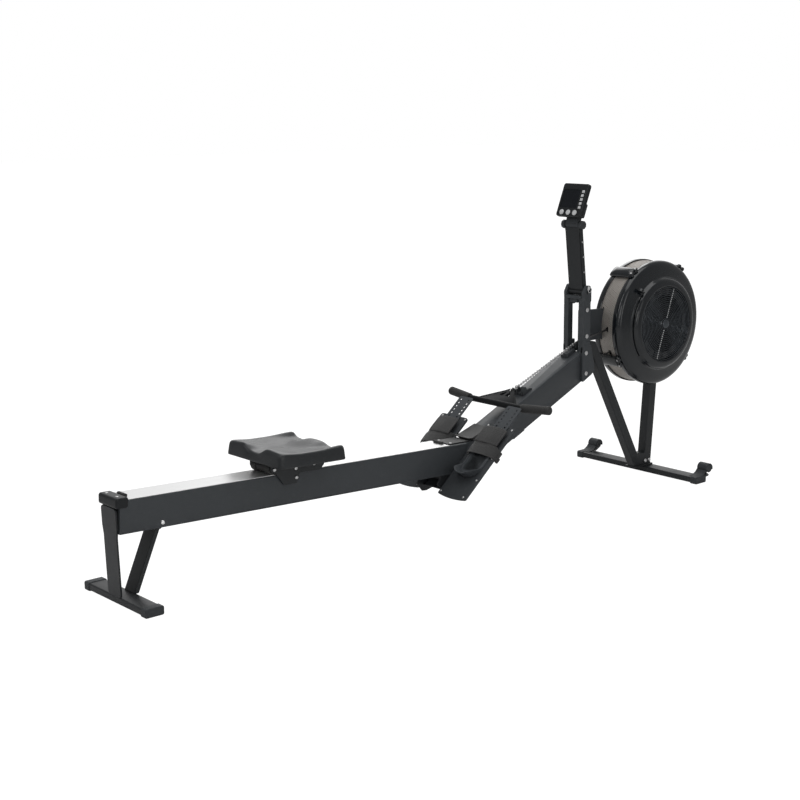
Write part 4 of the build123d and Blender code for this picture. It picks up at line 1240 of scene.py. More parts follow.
    def grille(self) -> None:
        """Makes the ringed air intake with its spokes and cap."""
        start = marked([spot(Matrix(), (0, 0, 0), (0, 0, 1))])
        rings = self.bench.rings.grow("rings", start, Finish.GRILLE, Count=self.grille_rings,
                                      First_Radius=self.first_ring * MM, Spacing=self.grille_pitch * MM,
                                      Wire_Radius=self.wire_r * MM)
        rings.data.transform(AXLE @ Matrix.Translation((0, -89 * MM, 0)))
        base = AXLE @ Matrix.Rotation(math.radians(self.grille_turn), 4, "Y")
        spokes = Shape("spokes", base).box((-1.2, 1.2), (-88.4, -87.2), (-144, 144))
        weld = Shape("weld", Matrix())
        weld.skin([[(x, 1.3 * y, h) for x, y in arc(0, 0, r, range(0, 360, 45))]
                   for r, h in ((2.1, -0.6), (1.9, 0.5), (1.0, 0.95))])
        spots = [spot(base, (0, -90, s * (26.5 + self.grille_pitch * k)), (0, -1, 0))
                 for k in range(self.grille_rings - 1) for s in (-1, 1)]
        self.bench.spread("grille_welds", weld.object(60), spots, Finish.STEEL, "frame", "black_plastic")
        cap = Shape("cap", AXLE)
        cap.turned([(0, -87), (18, -87), (18, -91.5), (16.6, -93.2), (13, -94), (0, -94)], steps=48)
        self.bench.fit(joined("intake_grille", rings, spokes.object(), cap.object(30)), Finish.GRILLE)

    def shutter(self) -> None:
        """Makes the damper's ring and its lever."""
        ring = Shape("ring", AXLE).turned([(112, -79.5), (140, -79.5), (140, -76.5), (112, -76.5)], steps=72)
        base = AXLE @ Matrix.Rotation(-math.radians(self.lever_at), 4, "Y")
        lever = Shape("lever", base).box((138, 207), (-79.5, -76.5), (-6, 6))
        side = eased([(191, -78), (206, -78), (207, -82), (205, -90), (201, -92), (195, -92), (191, -88)],
                     2.5)
        knob = Shape("knob", base).skin([[(r, y, z) for r, y in side] for z in (-6, 6)])
        parts = [ring.object(30), lever.bevelled(1.0), knob.bevelled(1.0)]
        self.bench.fit(joined("damper", *parts), Finish.GLOSS)

    def build(self) -> None:
        """Builds the whole cage."""
        self.left_cover()
        self.right_cover()
        self.band()
        self.bridges()
        self.grille()
        self.shutter()


@dataclass
class Fan:
    """The bladed flywheel on its shaft, with the sprocket and bearings."""

    bench: Bench
    blades: int = 20
    blade_r: Flat = (95.0, 196.0)
    blade_y: Flat = (-58.0, -14.0)
    blade_half: float = 1.1
    blade_bend: float = 10.0
    teeth: int = 14
    bore: float = 8.56

    def wheel(self) -> None:
        """Makes the wheel with its curved blades."""
        disc = Shape("disc", AXLE)
        disc.turned([(8.5, -72), (19, -72), (20, -71), (20, -46), (188, -46), (188, -50), (203, -50),
                     (204, -49), (204, -40), (203, -39), (188, -39), (188, -43), (20, -43), (20, -10),
                     (19, -9), (8.5, -9)], steps=96)
        (low, high), half, count = self.blade_y, self.blade_half, 6
        rows = []
        for k in range(count + 1):
            r = self.blade_r[0] + (self.blade_r[1] - self.blade_r[0]) * k / count
            bend = math.radians(self.blade_bend) * (k / count) ** 2
            x, z = r * math.cos(bend), r * math.sin(bend)
            rows.append([(x + w * math.sin(bend), y, z + w * math.cos(bend))
                         for w, y in ((-half, low), (half, low), (half, high), (-half, high))])
        blade = Shape("blade", AXLE).skin(rows).object()
        blade.data.transform(AXLE.inverted())
        start = marked([spot(Matrix(), (0, 0, 0), (0, 0, 1))])
        blades = self.bench.wheel.grow("blades", start, Finish.CAST, Part=blade, Count=self.blades)
        bpy.data.objects.remove(blade)
        blades.data.transform(AXLE)
        self.bench.fit(joined("flywheel", disc.object(30), blades), Finish.CAST)

    def sprocket(self) -> None:
        """Makes the toothed wheel that the chain runs on."""
        tips, points = [], 4 * self.teeth
        for k in range(self.teeth):
            for shift, r in ((-0.30, 24.6), (-0.12, 27.9), (0.12, 27.9), (0.30, 24.6)):
                a = 2 * math.pi * (k + shift) / self.teeth
                tips.append((r * math.cos(a), r * math.sin(a)))
        angles = [2 * math.pi * (k - 1.5) / points for k in range(points)]
        hole = [(self.bore * math.cos(a), self.bore * math.sin(a)) for a in angles]
        wheel = Shape("sprocket", AXLE)
        wheel.skin([[(x, y, z) for x, z in ring] for ring, y in
                    ((hole, -1.4), (tips, -1.4), (tips, 1.4), (hole, 1.4))], closed=True)
        wheel.turned([(8.6, -7), (14, -7), (14, 5), (8.6, 5)], steps=32)
        self.bench.fit(wheel.object(30), Finish.CHAIN)

    def build(self) -> None:
        """Builds wheel, shaft and sprocket."""
        self.wheel()
        shaft = Shape("axle_shaft", AXLE).disc(8.5, (-76, 42), 1.2)
        self.bench.fit(shaft.object(30), Finish.STEEL)
        self.sprocket()
        self.bench.coat(Finish.STEEL, "axle_bearings")


# ---- rail, beam, feet and post ----

def rail_top(x: float) -> float:
    """Returns the height of the rail's top at X."""
    return RAIL_TOP - RAIL_SLOPE * x


@dataclass
class Rail:
    """The rear foot, its upright and brace, the hollow rail, its track and end cap."""

    bench: Bench
    half: float = 50.0
    depth: Flat = (-103.5, -2.0)
    run: Flat = (5.5, 1380.0)
    track: Flat = (35.0, 1299.0)

    def foot(self) -> None:
        """Makes the rear bar; its shoes are made with the front ones."""
        bar = Shape("rear_foot_bar")
        bar.prism(chamfered((0, 60), (3, 26), 5), (-170, 170))
        self.bench.fit(bar.object(30), Finish.LEG)

    def upright(self) -> None:
        """Makes the wide leaning plate that closes the rail's end, and the brace."""
        outline = eased([(-42, 298), (-42, 238), (-37, 208), (-37, 24), (37, 24), (37, 208), (42, 238),
                         (42, 298)], 14, 5)
        plate = Shape("rear_upright")
        plate.skin([[(front + 1 - 8 * (z - 21) / 282, y, z) for y, z in outline] for front in (0, 6)])
        self.bench.fit(plate.bevelled(1.2), Finish.LEG)
        brace = Shape("brace").prism([(50.5, 25), (66.9, 25), (151.0, 217), (134.4, 217)], (-30, 30))
        pad = Shape("pad", RAIL).slab(eased([(96, -32), (172, -32), (172, 32), (96, 32)], 5),
                                      (-107.5, -103.2))
        weld = Shape("weld", RAIL).prism([(122, -108), (160, -108), (152, -113), (128, -113)], (-30.5, 30.5))
        parts = [brace.bevelled(3.0, 3), pad.bevelled(0.9), weld.bevelled(1.5)]
        self.bench.fit(joined("rear_brace", *parts), Finish.LEG)

    def beam(self) -> None:
        """Makes the rail with its lower beads, the track strip and the end cap."""
        rail = Shape("rail_beam", RAIL)
        rail.bar(chamfered((-self.half, self.half), self.depth, 3.5), self.run)
        for s in (-1, 1):
            run = (self.run[0] + 8, self.run[1])
            rail.box(run, sided(s, 49, 51), (-102.5, -98.6)).box(run, (s * 49.2, s * 50.5), (-7.5, -5.5))
        self.bench.fit(rail.bevelled(0.6, smooth=30), Finish.FRAME)
        strip = Shape("rail_track", RAIL).box(self.track, (-48.5, 48.5), (-2, 0))
        self.bench.fit(strip.bevelled(0.6), Finish.TRACK)
        cap = Shape("rail_end_cap", RAIL)
        cap.prism(eased([(-8, -26), (34, -26), (34, 3), (30, 7), (-8, 7)], 9, 7), (-52.5, 52.5))
        self.bench.fit(cap.bevelled(7.0, 6, 60, smooth=25), Finish.CASE)

    def build(self) -> None:
        """Builds the rear half of the frame."""
        self.foot()
        self.upright()
        self.beam()
        self.bench.coat(Finish.RUBBER, "seat_stops")


@dataclass
class Beam:
    """The rising main beam, the covers over its knee, the handle's rest and chain ramp."""

    bench: Bench
    slope: float = 0.457
    half: float = 40.0
    start: float = 1380.0
    end: float = 2015.0
    check: Point = (1845.0, 350.0, 466.0)
    rail_depth: float = 101.5

    def top(self, x: float) -> float:
        """Returns the height of the beam's top at X."""
        return self.check[2] + self.slope * (x - self.check[0])

    def under(self, x: float) -> float:
        """Returns the height of the beam's lower side at X."""
        return self.check[1] + self.slope * (x - self.check[0])

    def crown(self) -> float:
        """Returns the X at which the beam's top leaves the rail's level."""
        return self.check[0] + (rail_top(self.start) - self.check[2]) / self.slope

    def shell(self) -> None:
        """Makes the beam, open at the post for the chain."""
        start, end, high, crown = self.start, self.end, rail_top(self.start), self.crown()
        low = high - self.rail_depth
        knee = self.check[0] + (low - self.check[1]) / self.slope
        body = Shape("main_beam")
        body.prism([(start, low), (knee, low), (end, self.under(end)), (end, self.top(end)), (crown, high),
                    (start, high)], (-self.half, self.half))
        solid = joined("main_beam", body.bevelled(6.0, 4, 30))
        slot = Shape("slot").box((1967, 2060), (-14, 27), (self.top(1968) - 12, 600))
        self.bench.fit(carve(solid, slot.object()), Finish.FRAME)

    def covers(self) -> None:
        """Makes the flat cover on the rail's end and the hood over the knee."""
        start, level, crown = self.start, rail_top(self.start), self.crown()
        cover = Shape("cover")
        cover.prism([(1306, rail_top(1306)), (start, level), (1410, level), (1406, level + 4),
                     (start, level + 5), (1334, rail_top(1334) + 5), (1306, rail_top(1306) + 4)], (-37, 37))
        hood = Shape("hood")
        hood.prism([(1420, level), (crown, level), (1502, self.top(1502)), (1498, self.top(1498) + 4),
                    (crown - 6, level + 12), (1398, level + 13), (1398, level + 9.5), (1420, level + 9)],
                   (-39, 39))
        parts = [cover.bevelled(1.6, 3), hood.bevelled(3.0, 4, 20)]
        self.bench.fit(joined("joint_cover_plate", *parts), Finish.COVER)

    def rest(self) -> None:
        """Makes the horned handle rest and the black ramp under the chain."""
        foot, horn = 1684, 1716
        low, high = self.top(foot), self.top(horn)
        side = [(foot, low - 1), (horn + 14, self.top(horn + 14) - 1), (horn + 14, self.top(horn + 14) + 4),
                (horn, high + 12), (foot + 20, low + 22), (foot + 13, low + 34), (foot + 3, low + 34),
                (foot, low + 20)]
        rest = Shape("handle_rest")
        for y in ((-22, -8.2), (8.2, 22)):
            rest.prism(eased(side, 4, 3), y)
        rest.prism([(foot + 2, low - 1), (horn + 12, self.top(horn + 12) - 1),
                    (horn + 10, self.top(horn + 10) + 5), (foot + 2, low + 10)], (-9, 9))
        self.bench.fit(rest.bevelled(1.8, 3), Finish.MATT)
        ramp = Shape("chain_guide")
        ramp.prism(eased([(1925, self.top(1925) - 1), (1966, self.top(1966) - 1), (1966, 535), (1950, 529),
                          (1925, 518)], 3), (-13.5, 20.5))
        self.bench.fit(ramp.bevelled(1.6, 3), Finish.MATT)

    def build(self) -> None:
        """Builds the beam and what it carries on top."""
        self.shell()
        self.covers()
        self.rest()


@dataclass
class FrontFrame:
    """The front foot and its legs, the post, and the plate that carries the fan."""

    bench: Bench
    leg_y: Flat = (-43.0, -5.0)
    post_half: float = 50.0
    wheel_at: Flat = (2420.0, 49.0)

    def legs(self) -> None:
        """Makes both legs and the gusseted base that they stand on."""
        rear = Shape("rear_leg")
        rear.prism([(2288.5, 30), (2331.3, 30), (2047.9, 556), (2014, 556), (2021.1, 524.9)], self.leg_y)
        self.bench.fit(rear.bevelled(4.0, 4), Finish.LEG)
        front = Shape("front").prism([(2343.2, 28), (2383.4, 28), (2410, 363.6), (2370, 363.6)], self.leg_y)
        base = Shape("base").slab(eased([(2286, -48), (2392, -48), (2392, 5), (2286, 5)], 4), (25, 31))
        gusset = Shape("gusset")
        gusset.prism([(2310, 30), (2360, 30), (2362, 84), (2342, 78), (2296, 82)], (-42.4, -6))
        parts = [front.bevelled(4.0, 3), base.bevelled(1.2, 3), gusset.bevelled(2.0, 3)]
        self.bench.fit(joined("front_leg", *parts), Finish.LEG)

    def foot(self) -> None:
        """Makes the front bar, the four end shoes, the fenders and their wheels."""
        bar = Shape("front_foot_bar")
        bar.prism(chamfered((2337, 2396), (3, 25), 5), (-296, 296))
        self.bench.fit(bar.object(30), Finish.LEG)
        parts = []
        for ends, top, inner, outer in (((-2, 62), 28, 150, 177), ((2335, 2398), 27, 276, 305)):
            shoe = Shape("shoe").prism(chamfered(ends, (0, top), 5.5), (inner, outer)).mirrored()
            parts.append(shoe.bevelled(2.2, 3, 30))
        x, z = self.wheel_at
        roll = Shape("roll")
        roll.prism(arc(x, z, 19.6, range(-20, 206, 15))
                   + [(x - 21.5, z - 4), (2391, 36), (2376, 28), (2352, 26.5), (2386, 26.5), (2395, 27),
                      (x - 15.6, z - 11)]
                   + arc(x, z, 16.6, range(205, -21, -15)), (258, 303)).mirrored()
        parts.append(roll.bevelled(1.2, smooth=50))
        cheek = Shape("cheek")
        cheek.prism(eased([(2384, 27), (2398, 24), (x + 4, z - 12), (x + 12, z), (x + 8, z + 13),
                           (x - 5, z + 17), (x - 16, z + 8), (x - 18, z - 8)], 5), (257, 260.6))
        cheek.prism(eased([(2386, 27), (2398, 20), (2414, 22), (2417, 27), (2408, 33), (2396, 38)], 3),
                    (290, 303))
        cheek.rod((x, 254, z), (x, 301.5, z), 4.0, 20, 0.8)
        cheek.disc(15.6, (299.0, 302.6), 1.6, x, z, 36).mirrored()
        parts.append(cheek.bevelled(0.8))
        self.bench.fit(joined("foot_end_caps", *parts), Finish.MATT)
        for s, side in ((1, "left"), (-1, "right")):
            wheel = Shape(f"transport_wheel_{side}")
            y = s * 280.0
            half = [(4.1, 18.4), (12.6, 18.4), (14.6, 17.4), (15, 15.5), (15, 3), (14.2, 2)]
            wheel.turned([(r, y - reach) for r, reach in half]
                         + [(r, y + reach) for r, reach in reversed(half)], x, z, 48)
            self.bench.fit(wheel.object(30), Finish.RUBBER)

    def post(self) -> None:
        """Makes the post's two sides, its ears and the block between their tops."""
        parts = []
        beam = Beam(self.bench)
        back, front, half = 1969, 2010, self.post_half
        for s, inner, neck in ((1, 27.0, 1996), (-1, -24.0, front)):
            column = Shape("column")
            y = tuple(sorted((inner, s * (half - 0.6))))
            column.prism([(back, beam.top(back) - 4), (front, beam.top(front) - 4), (front, 563),
                          (back, 563)], y)
            column.prism([(back, 562), (neck, 562), (neck, 697), (back, 697)], y)
            column.prism([(back, 696), (front, 696), (front, 722), (back, 722)], y)
            cheek = Shape("cheek")
            cheek.prism(eased([(back, beam.under(back) + 2), (2018, 433), (2034, 446), (2034, 472),
                               (2014, 548), (back, 548)], 6), sided(s, 40.1, half))
            ear = Shape("ear")
            ear.prism(eased([(1971, 706), (2012, 706), (2012, 754), (2005, 770), (1984, 770),
                             (back, 744)], 9, 4), sided(s, 38, half))
            parts += [column.bevelled(2.4, 3), cheek.bevelled(1.4, 3), ear.bevelled(1.4, 3)]
        head = Shape("head").box((1967, 2006), (-37.7, 37.7), (720, 732))
        head.box((1974, 2005), (-14, 27), (705, 722))
        parts.insert(0, head.bevelled(1.6))
        self.bench.fit(joined("post_side_plates", *parts), Finish.FRAME)

    def plate(self) -> None:
        """Makes the flywheel plate, its bearing housing and the leg's saddle."""
        plate = Shape("plate")
        nose = arc(AXLE_X, AXLE_Z, 46, range(-84, 90, 12))
        plate.prism([(2030, 545), (2150, 545), *nose, (2150, 662), (2030, 667)], (27, 33))
        plate.slab([(2010, -44), (2014, -44), (2014, 4), (2036, 27), (2036, 32.9), (2031, 32.9), (2010, 9)],
                   (576, 667))
        plate.box((2372, 2404), (27, 33), (364, 560)).box((2368, 2408), (-45, 33), (364, 370))
        housing = Shape("housing", AXLE)
        housing.turned([(12, 6), (24.5, 6), (26, 7.5), (26, 37.5), (24.5, 39), (17.5, 39), (17.5, 28),
                        (12, 28)], steps=48)
        posts = Shape("posts", AXLE)
        for x, z in arc(0, 0, 38, (30, 150, 270)):
            posts.rod((x, 27, z), (x, 51, z), 5)
        parts = [plate.bevelled(1.0), housing.object(30), posts.object(30)]
        self.bench.fit(joined("flywheel_plate", *parts), Finish.FRAME)

    def build(self) -> None:
        """Builds the front half of the frame."""
        self.legs()
        self.foot()
        self.post()
        self.plate()


# ---- chain and handle ----

@dataclass
class Drive:
    """The roller chain, its guide roller and the elastic return cord."""

    bench: Bench
    pitch: float = 12.7
    guide: Flat = (1995.0, 538.4)
    guide_pitch: float = 17.3
    wheel_pitch: float = 31.4
    cord_end: float = 1890.0
    cord_post: Flat = (1640.0, 325.0)
    cord_r: float = 17.3
    swivel: Flat = (1663.09, 419.77)

    def link(self, name: str, low: float, high: float, roller: float) -> bpy.types.Object:
        """Draws one link along X: two waisted plates on two pins or rollers.

        Args:
            name: Object name.
            low: Inner face of a plate, from the middle.
            high: Outer face of a plate.
            roller: Radius of the pins or rollers.

        Returns:
            The loose part.
        """
        half = self.pitch / 2
        upper = [(half + 2.6, 0), (half + 1.8, 2.1), (half, 2.9), (0, 2.0), (-half, 2.9), (-half - 1.8, 2.1)]
        outline = upper + [(-x, -z) for x, z in upper]
        link = Shape(name, Matrix())
        for s in (-1, 1):
            link.prism(outline, sided(s, low, high))
            link.rod((s * half, -high - 0.1, 0), (s * half, high + 0.1, 0), roller, 8)
        return link.object(35)

    def lay(self, name: str, path: Sequence[Flat]) -> bpy.types.Object:
        """Lays chain along a path.

        Args:
            name: Name of the new piece.
            path: Points of X and Z in drawing millimetres.

        Returns:
            The chain.
        """
        points = [place(x, 0, z) for x, z in path]
        length = sum((b - a).length for a, b in zip(points, points[1:]))
        outer, inner = self.link("outer_link", 2.7, 3.4, 1.6), self.link("inner_link", 1.6, 2.4, 2.6)
        made = self.bench.chain.grow(name, threaded(points), Finish.CHAIN, Outer_Link=outer, Inner_Link=inner,
                                     Links=round(length / (self.pitch * MM)) + 1)
        for part in (outer, inner):
            bpy.data.objects.remove(part)
        return made

    def build(self) -> None:
        """Lays both runs of chain and makes the guide roller and cord."""
        (gx, gz), (sx, sz), (cx, cz), count = self.guide, self.swivel, self.cord_post, 14
        reach, back = Vector((AXLE_X - gx, AXLE_Z - gz)), Vector((AXLE_X - cx, AXLE_Z - cz))
        pull = Vector((gx - sx, gz - sz))
        top = math.degrees(math.atan2(reach.y, reach.x)
                           + math.asin((self.wheel_pitch - self.guide_pitch) / reach.length))
        low = math.degrees(math.atan2(back.y, back.x)
                           - math.asin((self.wheel_pitch + self.cord_r) / back.length))
        rise = math.degrees(math.atan2(pull.y, pull.x) + math.asin(self.guide_pitch / pull.length))
        over = arc(gx, gz, self.guide_pitch, [90 + rise + (top - rise) * k / count for k in range(count + 1)])
        wheel = arc(AXLE_X, AXLE_Z, self.wheel_pitch,
                    [90 + top + (low - 180 - top) * k / count for k in range(count + 1)])
        join = (self.cord_end, wheel[-1][1] - (wheel[-1][0] - self.cord_end) * math.tan(math.radians(low)))
        run = self.lay("chain_pull", [(sx + 4, sz + 2), over[0]])
        self.bench.fit(run, Finish.CHAIN, span=("frame", "handle", place(over[0][0], 0, over[0][1]),
                                                place(sx + 8, 0, sz + 3)))
        # The run inside the post and cage takes the dark finish: painted shade on the same chain.
        self.bench.fit(self.lay("chain_inner", over + wheel + [join]), Finish.INNER_CHAIN)
        roller = Shape("guide_roller")
        roller.turned([(4.1, -6.5), (16, -6.5), (17, -5.8), (17, -4.8), (14, -4.2), (14, 4.2), (17, 4.8),
                       (17, 5.8), (16, 6.5), (4.1, 6.5)], gx, gz, 40)
        self.bench.fit(roller.object(30), Finish.MATT)
        self.bench.coat(Finish.RUBBER, "bungee_cord")


@dataclass
class Handle:
    """The bar with its webbed yoke, the ribbed grips and the ring at the tip."""

    bench: Bench
    bend: float = 131.0
    sweep: float = 9.0
    bar_r: float = 11.0
    web_half: float = 5.0
    length: float = 124.0
    rib_pitch: float = 6.0
    ring_at: float = 91.0

    def end(self, s: int, reach: float) -> Point:
        """Returns a point on one grip's line, by its distance from the bend."""
        turn = math.radians(self.sweep)
        return (reach * math.sin(turn), s * (self.bend + reach * math.cos(turn)), 0.0)

    def bar(self) -> None:
        """Makes the bent bar and the web, with its two openings."""
        left = [self.end(1, r) for r in (122, 60, 12, 4)]
        path = left + [(0, 126, 0), (0, 116, 0), (0, 0, 0), (0, -116, 0), (0, -126, 0)]
        path += [(x, -y, z) for x, y, z in reversed(left)]
        bar = Shape("bar", HANDLE).pipe(path, self.bar_r, 28)
        yoke = eased([(0, 100), (10, 98), (84, 17), (97, 13), (100, 9), (100, -9), (97, -13), (84, -17),
                      (10, -98), (0, -100)], 6, 4)
        web = Shape("web", HANDLE).slab(yoke, (-self.web_half, self.web_half))
        solid = joined("web", web.bevelled(1.8, 3))
        hole, tip, rim = Shape("hole", HANDLE), Shape("tip_hole", HANDLE), Shape("rim", HANDLE)
        for s in (-1, 1):
            hole.slab(eased([(46, s * 6), (46, s * 26), (70, s * 13), (74, s * 6)], 4, 4), (-8, 8))
            tip.slab(arc(84, -6 * s, 2.6, COARSE_TURN), (-8, 8))
            rim.skin([[(x, s * y, -deep), (x, s * (y - 4.5), -deep), (x, s * (y - 4.5), 6.4), (x, s * y, 6.4)]
                      for x, y, deep in ((4, 99, 9), (20, 84.5, 11), (50, 53, 12), (78, 24, 11),
                                         (90, 14.5, 9), (99, 9, 6))])
        carve(solid, hole.object(), tip.object())
        self.bench.fit(joined("handle_bar", bar.object(50), solid, rim.bevelled(1.5)), Finish.BAR)

    def grips(self) -> None:
        """Makes the ribbed rubber sleeves with their domed ends."""
        grips = Shape("handle_grips", HANDLE)
        for s in (-1, 1):
            spots = [(1.5, 12.0), (2.2, 14.2), (4.0, 15.4), (9.0, 15.5)]
            reach = 11.0
            while reach < self.length - 14:
                spots += [(reach, 15.5), (reach + 0.7, 14.7), (reach + 2.3, 14.7), (reach + 3.0, 15.5)]
                reach += self.rib_pitch
            spots += [(self.length - 9, 15.5), (self.length - 5, 15.2), (self.length - 2, 13.4),
                      (self.length - 0.5, 10.4), (self.length, 7.0)]
            grips.pipe([self.end(s, r) for r, _ in spots], [r for _, r in spots], 32)
        self.bench.fit(grips.object(50), Finish.RUBBER)

    def ring(self) -> None:
        """Makes the bright ring and pin at the tip."""
        ring = Shape("chain_swivel", HANDLE)
        ring.pipe([(x, 0, z) for x, z in arc(self.ring_at, 0, 10.5, FINE_TURN)], 2.4, 12, loop=True)
        ring.rod((94, 0, 0), (103.8, 0, 0), 3.4, 18, 0.8)
        self.bench.fit(ring.object(50), Finish.CHROME)

    def build(self) -> None:
        """Builds the handle."""
        self.bar()
        self.grips()
        self.ring()


# ---- footrests ----

@dataclass
class Footrests:
    """The two boards on their bracket, the sliding heel plates and the straps."""

    bench: Bench
    inner: float = 51.5
    outer: float = 189.0
    length: float = 318.0
    heel_y: float = 122.0
    heel_r: float = 47.0
    tongue_half: float = 34.0
    tongue_end: float = 403.0
    hole_pitch: float = 15.6
    sheet: Flat = (0.6, 3.6)
    rim: Flat = (6.0, 37.0)
    long_stitches: int = 22
    cross_stitches: int = 12

    def boards(self) -> None:
        """Makes the boards, their bolts and the bracket below."""
        low = [(-8 + 7 * ((y - 120) / 69) ** 2, y) for y in range(56, 186, 10)]
        outline = eased([(-1, self.inner), *low, (-1, self.outer), (self.length, self.outer),
                         (self.length, self.inner)], 12, 4)
        board = Shape("footboards", BOARD).slab(outline, (-8, 0)).mirrored()
        self.bench.fit(board.bevelled(2.0, 3, smooth=25), Finish.MATT)
        bolts = ((9, 60), (180, 59), (308, 60), (7, 173), (83, 178), (180, 178), (308, 177))
        spots = [spot(BOARD, (x, s * y, -0.2), (0, 0, 1)) for s in (-1, 1) for x, y in bolts]
        self.bench.spread("board_bolts", button_head(4.2, 2.0), spots, Finish.STEEL, "frame", "zinc")
        cross = Shape("cross", BOARD).box((18, 70), (-150, 150), (-12, -8))
        for s in (-1, 1):
            cross.box((60, 172), (s * 51.2, s * 56.0), (-34, -8))
        spine = Shape("spine").prism([(1284, 150), (1296, 150), (1330, 176), (1284, 176)], (-30, 30))
        spine.prism(eased([(1226, 138), (1252, 106), (1272, 104), (1352, 122), (1405, 150), (1420, 196),
                           (1280, 200)], 6), (44, 47))
        spine.prism(eased([(1240, 148), (1262, 130), (1306, 130), (1356, 142), (1405, 160), (1420, 196),
                           (1280, 200)], 6), (-47, -44))
        under = Beam(self.bench).under
        pad = Shape("pad").prism([(1622, under(1622) + 1), (1690, under(1690) + 1), (1684, under(1684) - 9),
                                  (1630, under(1630) - 9)], (-30, 30))
        parts = [shape.bevelled(1.2) for shape in (cross, spine, pad)]
        self.bench.fit(joined("footboard_bracket", *parts), Finish.LEG)

    def heel(self, s: int, side: str) -> None:
        """Makes one heel cup on its drilled tongue.

        Args:
            s: 1 for the left, -1 for the right.
            side: Name of the side.
        """
        y, cup = s * self.heel_y, 84 + self.heel_r
        low, high, end = y - self.tongue_half, y + self.tongue_half, self.tongue_end
        tongue = Shape("tongue", BOARD)
        tongue.slab(eased([(cup - 20, low), (end, low), (end, high), (cup - 20, high)], 8, 4), self.sheet)
        holes = Shape("holes", BOARD)
        for row in (-20, 20):
            for step in range(13):
                holes.slab(arc(end - 14 - step * self.hole_pitch, y + row, 4, COARSE_TURN), (-2, 8))
        plate = carve(tongue.object(), holes.object())
        wall = Shape("wall", BOARD)
        stations = [(cup + 42 - 7 * k, -1.0, None) for k in range(6)]
        stations += [(None, None, math.radians(270 - 9 * k)) for k in range(21)]
        stations += [(cup + 7 + 7 * k, 1.0, None) for k in range(6)]
        rings = []
        for x, edge, a in stations:
            if a is None:
                point, out, turn = Vector((x, y + edge * (self.heel_r - 4))), Vector((0, edge)), 90.0
            else:
                out = Vector((math.cos(a), math.sin(a)))
                point, turn = Vector((cup, y)) + out * (self.heel_r - 4), abs(math.degrees(a) - 180)
            high = self.rim[0] + (self.rim[1] - self.rim[0]) * ramp((96 - turn) / 56)
            lean = 0.34 * (high - self.rim[0])
            mid, top = point + out * (lean * 0.35), point + out * lean
            rings.append([(*(start + out * reach), z) for start, reach, z in (
                (point, 4, 0.6), (mid, 3.4, high * 0.5), (top, 2.6, high - 1.4), (top, 1.6, high),
                (top, 0.4, high - 0.8), (mid, 0.4, high * 0.5), (point, 0, 0.6))])
        wall.skin(rings)
        floor = Shape("floor_plate", BOARD)
        floor.slab(arc(cup, y, 45, range(90, 271, 12)) + [(cup + 58, y - 45), (cup + 58, y + 45)], self.sheet)
        parts = [plate, wall.object(50), floor.bevelled(0.8)]
        self.bench.fit(joined(f"heel_plate_{side}", *parts), Finish.HEEL)

    def crown(self, v: float) -> float:
        """Returns the padded flap's swell at a share of its length."""
        return math.sin(math.pi * v) - 5.5 * max(v - 0.55, 0) / 0.45

    def band(self, s: int) -> bpy.types.Object:
        """Makes the band over one foot.

        Args:
            s: 1 for the left, -1 for the right.

        Returns:
            The band.
        """
        line = [(58, 1.4), (61, 6), (69, 11), (84, 13.6), (104, 14.6), (126, 14.6), (146, 13.2), (162, 10.6),
                (175, 7), (185, 2.8), (190.8, -3.5), (191.5, -14)]
        rings = []
        for k, (y, z) in enumerate(line):
            a, b = Vector(line[max(k - 1, 0)]), Vector(line[min(k + 1, len(line) - 1)])
            along = (b - a).normalized()
            out = Vector((-along.y, along.x)) * 1.5
            end = 238 - 22 * min(max((y - 150) / 36, 0), 1)
            rings.append([(x, s * (y + f * out.x), z + f * out.y) for x, f in (
                (179, -1), (end, -1), (end + 0.8, 0), (end, 1), (208, 1.25), (179, 1), (178.2, 0))])
        return Shape("band", BOARD).skin(rings).object(50)

    def flap(self, s: int) -> bpy.types.Object:
        """Makes the padded flap on one band.

        Args:
            s: 1 for the left, -1 for the right.

        Returns:
            The flap.
        """
        rows, count = [], 8
        for k in range(count + 1):
            v = k / count
            ends = 1.6 * (1 - min(1, 8 * v * (1 - v))) * 4
            rows.append([(x, s * (68 + 106 * v), z + self.crown(v)) for x, z in (
                (226, 16.2), (240, 15.8), (262, 15.4), (290 - ends, 14.6), (299 - ends, 16),
                (290 - ends, 18.2), (262, 19.4), (238, 19.8), (226, 18.6))])
        return Shape("flap", BOARD).skin(rows).bevelled(1.0, smooth=70)

    def straps(self) -> None:
        """Makes the bands over the feet, their padded flaps, stitches and end tabs."""
        parts, stitches = [], []
        for s in (-1, 1):
            tab = Shape("tab", BOARD)
            tab.prism(eased([(176, -8), (196, -8), (196, -20), (176, -20)], 3), sided(s, 186, 194))
            parts += [self.band(s), self.flap(s), tab.bevelled(1.0)]
            for k in range(self.long_stitches):
                v = k / (self.long_stitches - 1)
                y, rise = s * (73 + 96 * v), self.crown(v)
                stitches += [spot(BOARD, (x, y, z + rise), (0, 0, 1), (0, 1, 0))
                             for x, z in ((290, 18.5), (231, 19.6))]
            for k in range(self.cross_stitches):
                stitches += [spot(BOARD, (236 + 4.4 * k, s * y, z), (0, 0, 1))
                             for y, z in ((71.5, 19.9), (170.5, 15.0))]
        self.bench.fit(joined("foot_straps", *parts), Finish.STRAP)
        stitch = Shape("stitch", Matrix())
        stitch.pipe([(-1.4, 0, -0.4), (-0.8, 0, 0.25), (0.8, 0, 0.25), (1.4, 0, -0.4)], 0.38, 6)
        self.bench.spread("strap_stitches", stitch.object(), stitches, Finish.THREAD, "frame", "strap")

    def build(self) -> None:
        """Builds both footrests."""
        self.boards()
        self.heel(1, "left")
        self.heel(-1, "right")
        self.straps()


# ---- seat ----

